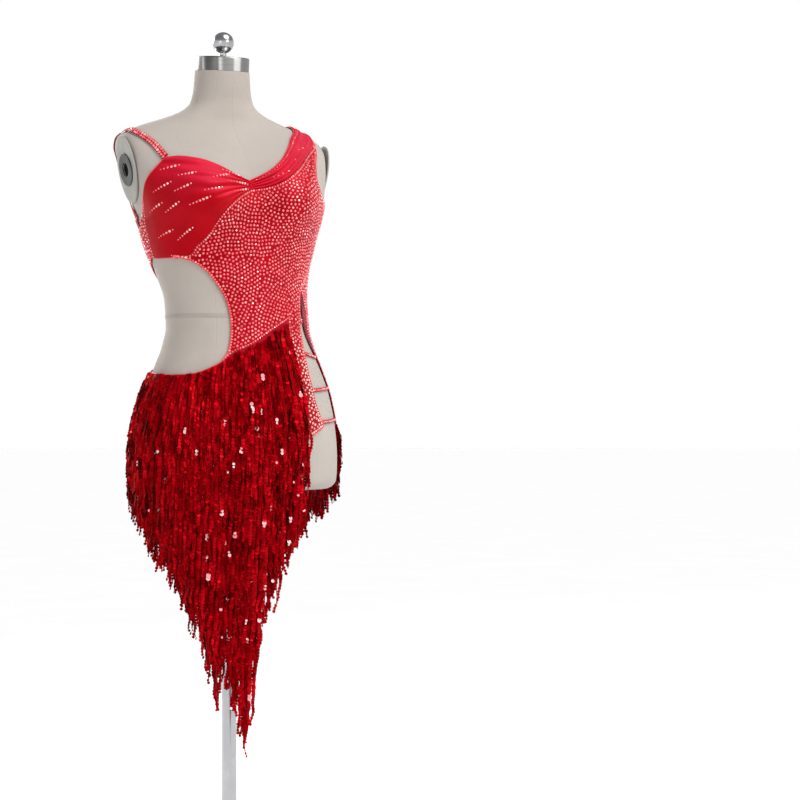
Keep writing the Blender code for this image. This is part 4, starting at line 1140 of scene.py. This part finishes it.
def strand_table(fringe):
    """One row per strand: its turn, where it is sewn on, where it ends and its tier."""
    rows = []
    for tier in range(TIERS):
        share = 0.02 + 0.96 * tier / (TIERS - 1)
        last = np.interp(share, [0.07, 0.32, 0.6, 0.9], fringe.last)
        turns = np.arange(fringe.first, last, 0.2)
        gap = UPPER_PITCH + (LOWER_PITCH - UPPER_PITCH) * share
        run = spaced(np.stack([turns, fringe_lines(fringe, share, turns)], 1), gap)
        count = len(run)
        turn = np.clip(run[:, 0] + RNG.normal(0, 0.35, count), fringe.first, last)
        rise = fringe_lines(fringe, share, turn) + RNG.uniform(-2.5, 2.5, count)
        rise = np.maximum(rise, HANG_RISE + 2)
        hem = np.interp(turn, *zip(*fringe.hem)) - CLUMP_DROPS[clump_of(turn)]
        reach = np.clip(0.46 + 0.6 * share + RNG.uniform(-0.2, 0.14, count), 0.3, 1.0)
        full = RNG.uniform(0, 1, count) < FULL_SHARE
        reach = np.where(full, RNG.uniform(0.88, 1.0, count), reach)
        stop = rise + reach * (hem - rise) + RNG.uniform(-4, 12, count)
        rows.append(np.stack([turn, rise, np.minimum(stop, rise - 25), np.full(count, tier)], 1))
    return np.vstack(rows)


def strand_samples(fringe, table, step):
    """Points every `step` down each strand, with the strand each belongs to."""
    counts = np.maximum(2, np.floor((table[:, 1] - table[:, 2]) / step).astype(int))
    strand = np.repeat(np.arange(len(table)), counts)
    down = (np.arange(counts.sum()) - np.repeat(np.cumsum(counts) - counts, counts)) * step
    turn, root, _, tier = table[strand].T
    rise = root - down
    depth = fringe_lines(fringe, 0, turn) - fringe_lines(fringe, 1, turn)
    passed = np.clip(down / np.maximum(depth / (TIERS - 1), 3), 0, TIERS - 1 - tier)
    loose = LOOSE[strand % len(LOOSE)]
    lift = STRAND_START + TIER_CLIMB * passed + STRAND_LOOSE * loose
    free = np.clip((HANG_RISE - rise) / 130, 0, 1)
    clump = clump_of(turn)
    turn = turn + CLUMP_PULLS[clump] * free * (CLUMP_TURNS[clump] - turn)
    sway = SWAY[strand % len(SWAY)]
    wander = np.sin(down / (26 + 14 * loose) + 9 * loose) + 0.6 * np.sin(down / 11 + 20 * loose)
    turn = turn + 0.9 * sway * np.clip(down / 120, 0.2, 1) * wander
    ends = np.clip((table[strand, 2] + 70 - rise) / 70, 0, 1) ** 1.5
    turn = turn + ends * (0.7 + 0.9 * loose) * np.sin(down / (5 + 4 * loose) + 30 * loose)
    lift = lift + free * 2.5 * sway + ends * 2.0 * np.sin(down / (6 + 3 * loose) + 50 * loose)
    on_skin = np.maximum(rise, HANG_RISE)
    points = lifted(turn, on_skin, lift)
    points[:, 1] *= 1 - HANG_DRAW * (on_skin - rise)
    points[:, 2] -= on_skin - rise
    return points, strand, down, turn, on_skin, ends


def tumbled(strand, down, seed):
    """How far each sequin is turned about its thread and tipped, and which of them carry painted
    glints.
    """
    count = len(down)
    phase, length = TWIST_PHASE[seed % len(TWIST_PHASE)], TWIST_LENGTH[seed % len(TWIST_LENGTH)]
    yaw = 0.65 * np.sin(2 * np.pi * down / length + phase)
    turned = RNG.uniform(0, 1, count) < TURNED_SHARE
    painted_glint = RNG.uniform(0, 1, count) < PAINTED_GLINT_SHARE
    below_painted_glint = painted_glint[:-1] & (strand[1:] == strand[:-1])
    painted_glint[1:] |= below_painted_glint & (RNG.uniform(0, 1, count - 1) < 0.6)
    spread = np.where(turned, 0.45, 0.16)
    yaw = np.where(painted_glint, 0.3 * yaw, yaw + RNG.normal(0, 1, count) * spread)
    pitch = 0.2 + RNG.normal(0, 1, count) * np.where(turned & ~painted_glint, 0.35, 0.06)
    return yaw, pitch, painted_glint


def sequin_tones(seed, down, turn, on_skin, painted_glint):
    """Tones by clump and by strand, in waves and at random, with painted glints far above the rest.
    """
    tones = 0.42 + CLUMP_TONES[clump_of(turn)] + 0.13 * np.sin(seed * 2.4)
    tones = tones + 0.09 * np.sin(down / 17 + seed)
    tones = tones + 0.09 * np.sin(turn * 0.9 + on_skin / 15 - down / 40)
    tones = tones + RNG.normal(0, 0.08, len(down))
    return np.where(painted_glint, RNG.uniform(0.88, 1.0, len(down)), np.clip(tones, 0, 0.84))


def sequins(name, fringe, chunk, number, nodes):
    """Overlapping six-sided sequins, strung down the strands of one chunk of the table."""
    points, strand, down, turn, on_skin, ends = strand_samples(fringe, chunk, SEQUIN_PITCH)
    count = len(points)
    seed = strand + 131 * number  # so that no piece repeats another's twists
    yaw, pitch, painted_glint = tumbled(strand, down, seed)
    out = unit(axes_at(turn, on_skin)[2] * (1, 1, 0))
    across = np.cross(UP, out)
    cos, sin = np.cos(yaw)[:, None], np.sin(yaw)[:, None]
    side, face = cos * across + sin * out, cos * out - sin * across
    cos, sin = np.cos(pitch)[:, None], np.sin(pitch)[:, None]
    long = cos * UP - sin * face
    radii = SEQUIN_RADIUS * RNG.uniform(0.85, 1.05, count) * (1 - 0.24 * ends)
    radii = np.where(painted_glint, SEQUIN_RADIUS * RNG.uniform(0.45, 1.1, count), radii)
    points = points + np.where(painted_glint, 1.2, 0.0)[:, None] * out
    turns = circle(6, 0.5)[:, None]
    rim = np.cos(turns) * side[:, None] + np.sin(turns) * long[:, None]
    corners = points[:, None] + radii[:, None, None] * rim
    faces = np.arange(6 * count).reshape(-1, 6).tolist()
    tones = sequin_tones(seed, down, turn, on_skin, painted_glint)
    corners = corners.reshape(-1, 3)
    return piece(name, corners, faces, SEQUIN, nodes, tones=tones)


def threads(name, fringe, chunk):
    """A three-sided thread down each strand, behind its sequins."""
    points, strand, _, turn, on_skin, _ = strand_samples(fringe, chunk, 3 * SEQUIN_PITCH)
    points = points - THREAD_BEHIND * axes_at(turn, on_skin)[2] * (1, 1, 0)
    around = [(math.cos(a), math.sin(a), 0) for a in (0.5, 2.6, 4.7)]
    rings = points[:, None] + THREAD_RADIUS * np.array(around)
    faces = side_faces(np.arange(3 * len(points)).reshape(-1, 3))
    faces = np.reshape(faces, (-1, 3, 4))[strand[1:] == strand[:-1]].reshape(-1, 4)
    return piece(name, rings.reshape(-1, 3), faces, THREAD)


def fringe_pieces(word, fringe, parts):
    """The whole fringe, in a few pieces from side to side. The first replaces its four nodes."""
    nodes = [f"fringe_{word}_{n}" for n in (1, 2, 3, 4)]
    table = strand_table(fringe)
    table = table[np.argsort(table[:, 0], kind="stable")]
    made = []
    for number, chunk in enumerate(np.array_split(table, parts), 1):
        replaced = nodes if number == 1 else ()
        made.append(sequins(f"sequins_{word}_{number}", fringe, chunk, number, replaced))
        made.append(threads(f"threads_{word}_{number}", fringe, chunk))
    return made


# ---------------------------------------------------------------- the dress
# Its last colour is painted light from above, added where the stoned cloth faces up.
STONED = lycra("stoned_lycra", (0.28, 0.0, 0.002), (0.38, 0.0, 0.004), (0.12, 0.0, 0.004))
# Near-black red: painted shade on the turned-out inside along the ladder.
PAINTED_SHADE_FACING = lycra("facing_painted_shade", (0.06, 0.0, 0.002), (0.1, 0.0, 0.004))
FRONT_LOOP = outline(
    BAND_LOW, LEFT_ARMHOLE_FRONT, LEFT_SIDE_SEAM, LADDER_FRONT, LEG_LINE_STRIP,
    STRIP_EDGE, FRINGE_TOP_FRONT, CUTOUT_FRONT, CUP_SEAM,
)
# The back panel has no stones along its ladder edge, where its inside turns out; that strip's
# near-black red is painted shade.
LADDER_STONES = [
    (71, -179), (71.5, -148), (70.5, -121), (69, -92), (65.5, -66), (62, -38), (59.5, -6),
    (56, 20), (48, 48),
]
BACK_LOOP, BACK_STONES_LOOP = (
    outline(
        BACK_OPENING, BACK_OPENING_RIGHT, BACK_BAND_END, CUTOUT_BACK, FRINGE_TOP_BACK,
        LEG_LINE_BACK, ladder, "-", LEFT_SIDE_SEAM, LEFT_ARMHOLE_BACK, SHOULDER_SEAM,
    )
    for ladder in (LADDER_BACK, LADDER_STONES)
)
SIDE_LOOP = outline(
    SIDE_BAND_TOP, shifted(CUP_SIDE_SEAM, 360), "-", SIDE_BAND_HEM, "-", BACK_BAND_END,
)


def front():
    """The front panel with its stones and bound edges."""
    cloth = cut_cloth("front_cloth", FRONT_LOOP, STONED, ["front_panel"])
    trim = [stoned("front_stones", FRONT_LOOP, paler=0.55)]
    edges = [(CUTOUT_FRONT, 1), (LEFT_ARMHOLE_FRONT, -1), (LADDER_FRONT, -1), (LEG_LINE_STRIP, -1)]
    trim.append(piping("front_binding", edges))


def facing(count=60):
    """The back panel's inside, turned out along the ladder as a strip of `count` - 1 faces, its
    near-black red painted shade.
    """
    edge = unflat(flat(even(LADDER_BACK, count)) + np.array([0.5, 0.0]))
    outer = lifted(*edge.T, 3.15)
    inner = lifted(*even(LADDER_STONES, count).T, 2.95)
    faces = [(i, i + 1, count + 1 + i, count + i) for i in range(count - 1)]
    return piece("back_facing", np.vstack([outer, inner]), faces, PAINTED_SHADE_FACING)


def back():
    """The back panel with its stones, facing, edges and hip straps, and the small side panel."""
    cloth = cut_cloth("back_cloth", BACK_LOOP, STONED, ["back_panel"])
    trim = [stoned("back_stones", BACK_STONES_LOOP), facing()]
    edges = [(BACK_OPENING, 1), (BACK_OPENING_RIGHT, 1), (CUTOUT_BACK, 1), (LEFT_ARMHOLE_BACK, 1)]
    trim.append(piping("back_binding", edges))
    trim += hip_straps()
    side = cut_cloth("side_cloth", SIDE_LOOP, STONED, ["right_side_panel"])
    stoned("side_stones", SIDE_LOOP)


DRAPE_COLUMNS = 110
# Stones that trail down from the band's row, and their radii.
BAND_EXTRA = [(12, 229), (14.5, 232), (17, 236), (20, 239), (26, 262), (31, 282), (35, 286)]
BAND_EXTRA_RADII = [1.1, 1.3, 1.6, 2.0, 1.7, 1.3, 1.9]


def cup():
    """The draped right cup with its comets of stones."""
    low = np.vstack([drawn(CUP_SEAM)[::-1], drawn(CUP_HEM)[-2::-1]])
    side = CUP_ARMHOLE + CUP_SIDE_SEAM[1:]
    cloth = gathered(
        "cup_cloth", even(CUP_TOP, DRAPE_COLUMNS), evenly(flat(low), DRAPE_COLUMNS), 84, CUP_FOLDS,
        LYCRA, ["right_cup"], end=side,
    )
    trim = [stones_on("cup_stones", cloth, *comet_stones())]
    edges = [(CUP_ARMHOLE, 1), (CUP_HEM, 1), (CUP_TOP, -1)]
    trim.append(piping("cup_binding", edges, THIN_PIPING_RADIUS))


def neck_band():
    """The draped band from the cup over the left shoulder, with a row of stones along its top."""
    low = np.vstack([drawn(BAND_LOW), drawn(BAND_OUTER)[1:]])
    cloth = gathered(
        "band_cloth", even(BAND_TOP, DRAPE_COLUMNS), evenly(flat(low), DRAPE_COLUMNS), 36,
        BAND_FOLDS, LYCRA, ["neck_band"],
    )
    row = spaced(drawn(BAND_TOP, 2.0), 6.5)[2:-2] + (0.9, -2.2)
    radii = np.concatenate([RNG.uniform(0.8, 1.25, len(row)), BAND_EXTRA_RADII])
    places = np.vstack([row, BAND_EXTRA])
    trim = [stones_on("band_stones", cloth, places, radii, RNG.uniform(0.5, 1.0, len(radii)))]
    trim.append(piping("band_binding", [(BAND_TOP, -1), (BAND_OUTER, 1)], THIN_PIPING_RADIUS))


def stones_along(name, path, offsets, pitch, radius):
    """Rows of stones down a strap, each row moved sideways by its offset and staggered."""
    run = spaced(drawn(path, 1.0), pitch / 2)
    centre, across, out = run_frame(run)
    points, picks = [], []
    for number, offset in enumerate(offsets):
        pick = np.arange(1 + number % 2, len(run) - 1, 2)
        points.append(centre[pick] + offset * across[pick] + STRAP_STONE_LIFT * out[pick])
        picks.append(pick)
    pick = np.concatenate(picks)
    across, out = across[pick], unit(out[pick])
    radii = radius * RNG.uniform(0.93, 1.05, len(out))
    tones = np.clip(RNG.beta(2.6, 1.6, len(out)), 0, 1)
    return stones(name, np.vstack(points), across, np.cross(out, across), out, radii, tones)


def shoulder_strap():
    """The narrow right strap, which is stoned only on the front."""
    cloth = strap("strap_cloth", RIGHT_STRAP_PATH, STRAP_WIDTH, ["right_shoulder_strap"])
    rows = stones_along("strap_stones", RIGHT_STRAP_PATH[:5], (-2.9, 2.9), 5.8, 2.75)


def hip_straps():
    """The four stoned straps across the ladder, each ending just inside both panels' edges."""
    made = []
    front_edge, back_edge = drawn(LADDER_FRONT, 3.0), drawn(LADDER_BACK, 3.0)
    for number, strip in enumerate(HIP_STRAPS, 1):
        sides = np.array([-0.5, 0.0, 0.5]) * strip.width
        start = np.interp(-strip.front_rise - sides, -front_edge[:, 1], front_edge[:, 0]).max()
        stop = np.interp(strip.back_rise + sides, back_edge[:, 1], back_edge[:, 0]).min()
        start += strip.short / degree_length(start, strip.front_rise)
        stop -= strip.short / degree_length(stop, strip.back_rise)
        path = [(start, strip.front_rise), (stop, strip.back_rise)]
        name, replaced = f"hip_strap_cloth_{number}", [f"hip_strap_{number}"]
        made.append(strap(name, path, strip.width, replaced, 1.5))
        rows = ((-1.9, 1.9), 4.2, 1.75) if number == 1 else ((0,), 4.6, 1.9)
        made.append(stones_along(f"hip_strap_stones_{number}", path, *rows))
    return made


FRONT_FRINGE = Fringe(
    top=[
        (-92, -97), (-63, -101), (-47, -99), (-36, -90), (-28, -79), (-19, -64), (-6, -51),
        (9, -30), (28, -9),
    ],
    low=[(-92, -190), (-70, -199), (-45, -220), (-18, -268), (5, -268), (24, -214)],
    hem=[
        (-92, -300), (-78, -342), (-62, -390), (-46, -450), (-38, -494), (-30, -535), (-23, -590),
        (-14, -640), (-9, -690), (-5, -752), (-2, -704), (-1, -630), (2, -556), (6, -504),
        (12, -438), (19, -390), (28, -342),
    ],
    first=-91.8, last=(25.6, 24.2, 22.6, 21.2),
)
BACK_FRINGE = Fringe(
    top=[
        (84, -187), (94, -149), (103, -112), (110, -79), (116, -34), (124, 7), (138, 1), (153, -14),
        (167, -32), (181, -46), (194, -59), (205, -71), (218, -77), (232, -88), (256, -98),
        (268, -98),
    ],
    low=[
        (84, -200), (112, -219), (140, -248), (162, -268), (198, -268), (225, -240), (250, -208),
        (268, -190),
    ],
    hem=[
        (84, -312), (92, -318), (98, -324), (107, -336), (116, -358), (125, -386), (134, -424),
        (143, -448), (152, -488), (161, -540), (168, -600), (175, -668), (180, -676), (185, -640),
        (191, -560), (198, -508), (206, -468), (215, -432), (224, -398), (233, -368), (251, -328),
        (268, -302),
    ],
    first=85.0, last=(267.8,) * 4,
)


def brief_and_fringe():
    """Front and back of the brief, each carrying its half of the fringe."""
    between_legs = [BRIEF_LEG_FRONT[-1], BRIEF_LEG_RIGHT[0]]
    loop = outline(
        CUTOUT_LOW_FRONT, "-", FRINGE_TOP_FRONT, "-", STRIP_EDGE,
        BRIEF_LEG_FRONT, between_legs, BRIEF_LEG_RIGHT, RIGHT_SIDE_LOW,
    )
    cloth = cut_cloth("brief_front_cloth", loop, DEEP_LYCRA, ["brief_front"])
    trim = fringe_pieces("front", FRONT_FRINGE, 2)
    trim.append(piping("brief_front_binding", [(CUTOUT_LOW_FRONT, 1)]))
    between_legs = [BRIEF_LEG_BACK_RIGHT[-1], BRIEF_LEG_BACK_LEFT[0]]
    loop = outline(
        CUTOUT_LOW_BACK, RIGHT_SIDE_BACK, BRIEF_LEG_BACK_RIGHT,
        between_legs, BRIEF_LEG_BACK_LEFT, "-", FRINGE_TOP_BACK,
    )
    cloth = cut_cloth("brief_back_cloth", loop, DEEP_LYCRA, ["brief_back"])
    trim = fringe_pieces("back", BACK_FRINGE, 3)
    trim.append(piping("brief_back_binding", [(CUTOUT_LOW_BACK, 1)]))


# ---------------------------------------------------------------- studio
FLOOR_RADIUS = 40.0  # metres, as the camera's numbers are
CAMERA_TURN, CAMERA_DISTANCE, CAMERA_HEIGHT = -23.0, 4.0, 0.9006
PHOTO_MIDDLE, AXIS_COLUMN = 400, 229  # pixels from the photograph's left edge


def floor():
    """A wide, pale disc."""
    turns = circle(ROUND_SEGMENTS)
    rim = FLOOR_RADIUS * np.stack([np.cos(turns), np.sin(turns), 0 * turns], 1)
    mesh = bpy.data.meshes.new("studio_floor")
    mesh.from_pydata(rim.tolist(), [], [range(ROUND_SEGMENTS)])
    mat = blank("studio_floor", (0.97, 0.97, 0.97), 0.0, 0.9)
    mesh.materials.append(finish(mat, mottled(mat, 3, 4, 0.96, 0.98)))
    added("studio_floor", mesh)


def aimed(place, aim=(0, 0, 1.0)):
    """The turn that points a light from its place to its aim."""
    return (Vector(aim) - Vector(place)).to_track_quat("-Z", "Y").to_euler()


def soft_light(name, place, size, power):
    """A rectangular light aimed at the waist."""
    data = bpy.data.lights.new(name, "AREA")
    data.shape = "RECTANGLE"
    data.size, data.size_y = size
    data.energy = power
    obj = added(name, data)
    obj.location = place
    obj.rotation_euler = aimed(place)
    obj.visible_camera = False


def studio():
    """The floor, a sky that is brightest below, a wide sun and three soft lights."""
    floor()
    world = bpy.data.worlds.new("studio")
    world.use_nodes = True
    sky = world.node_tree.nodes["Background"]
    height = node(world, "ShaderNodeSeparateXYZ")
    wire(world, node(world, "ShaderNodeTexCoord").outputs["Generated"], height.inputs[0])
    fade = ramp(world, height.outputs["Z"], (0.2, 1.0), (0.42, (0.3, 0.3, 0.31)))
    wire(world, fade, sky.inputs["Color"])
    sky.inputs["Strength"].default_value = 1.0
    bpy.context.scene.world = world
    sun = added("sun", bpy.data.lights.new("sun", "SUN"))
    sun.data.energy = 2.5
    sun.data.angle = math.radians(38)
    sun.rotation_euler = aimed((0, 0, 0), (-0.35, 0.55, -1.0))
    soft_light("key", (1.5, -3.4, 2.5), (0.45, 0.6), 30)
    soft_light("side", (-3.0, -2.2, 1.7), (0.5, 0.8), 7)
    soft_light("back", (-0.8, 3.4, 2.5), (1.0, 1.0), 95)
    bpy.context.scene.view_settings.view_transform = "Standard"


def camera():
    """The photograph's view, from the wearer's right, with the form left of centre."""
    data = bpy.data.cameras.new("camera")
    data.lens, data.sensor_width = 105.9, 36.0
    data.clip_start, data.clip_end = 0.1, 200.0
    obj = added("camera", data)
    turn = math.radians(CAMERA_TURN)
    back = Vector((math.sin(turn), -math.cos(turn), 0.0))
    obj.location = CAMERA_DISTANCE * back + Vector((0, 0, CAMERA_HEIGHT))
    beside = (PHOTO_MIDDLE - AXIS_COLUMN) / PHOTO_MIDDLE * data.sensor_width / 2 / data.lens
    aim = Matrix.Rotation(-math.atan(beside), 3, "Z") @ -back
    obj.rotation_euler = aim.to_track_quat("-Z", "Y").to_euler()
    bpy.context.scene.camera = obj


camera()
form()
waist_tape()
arms()
neck()
stand()
front()
back()
cup()
neck_band()
shoulder_strap()
brief_and_fringe()
studio()
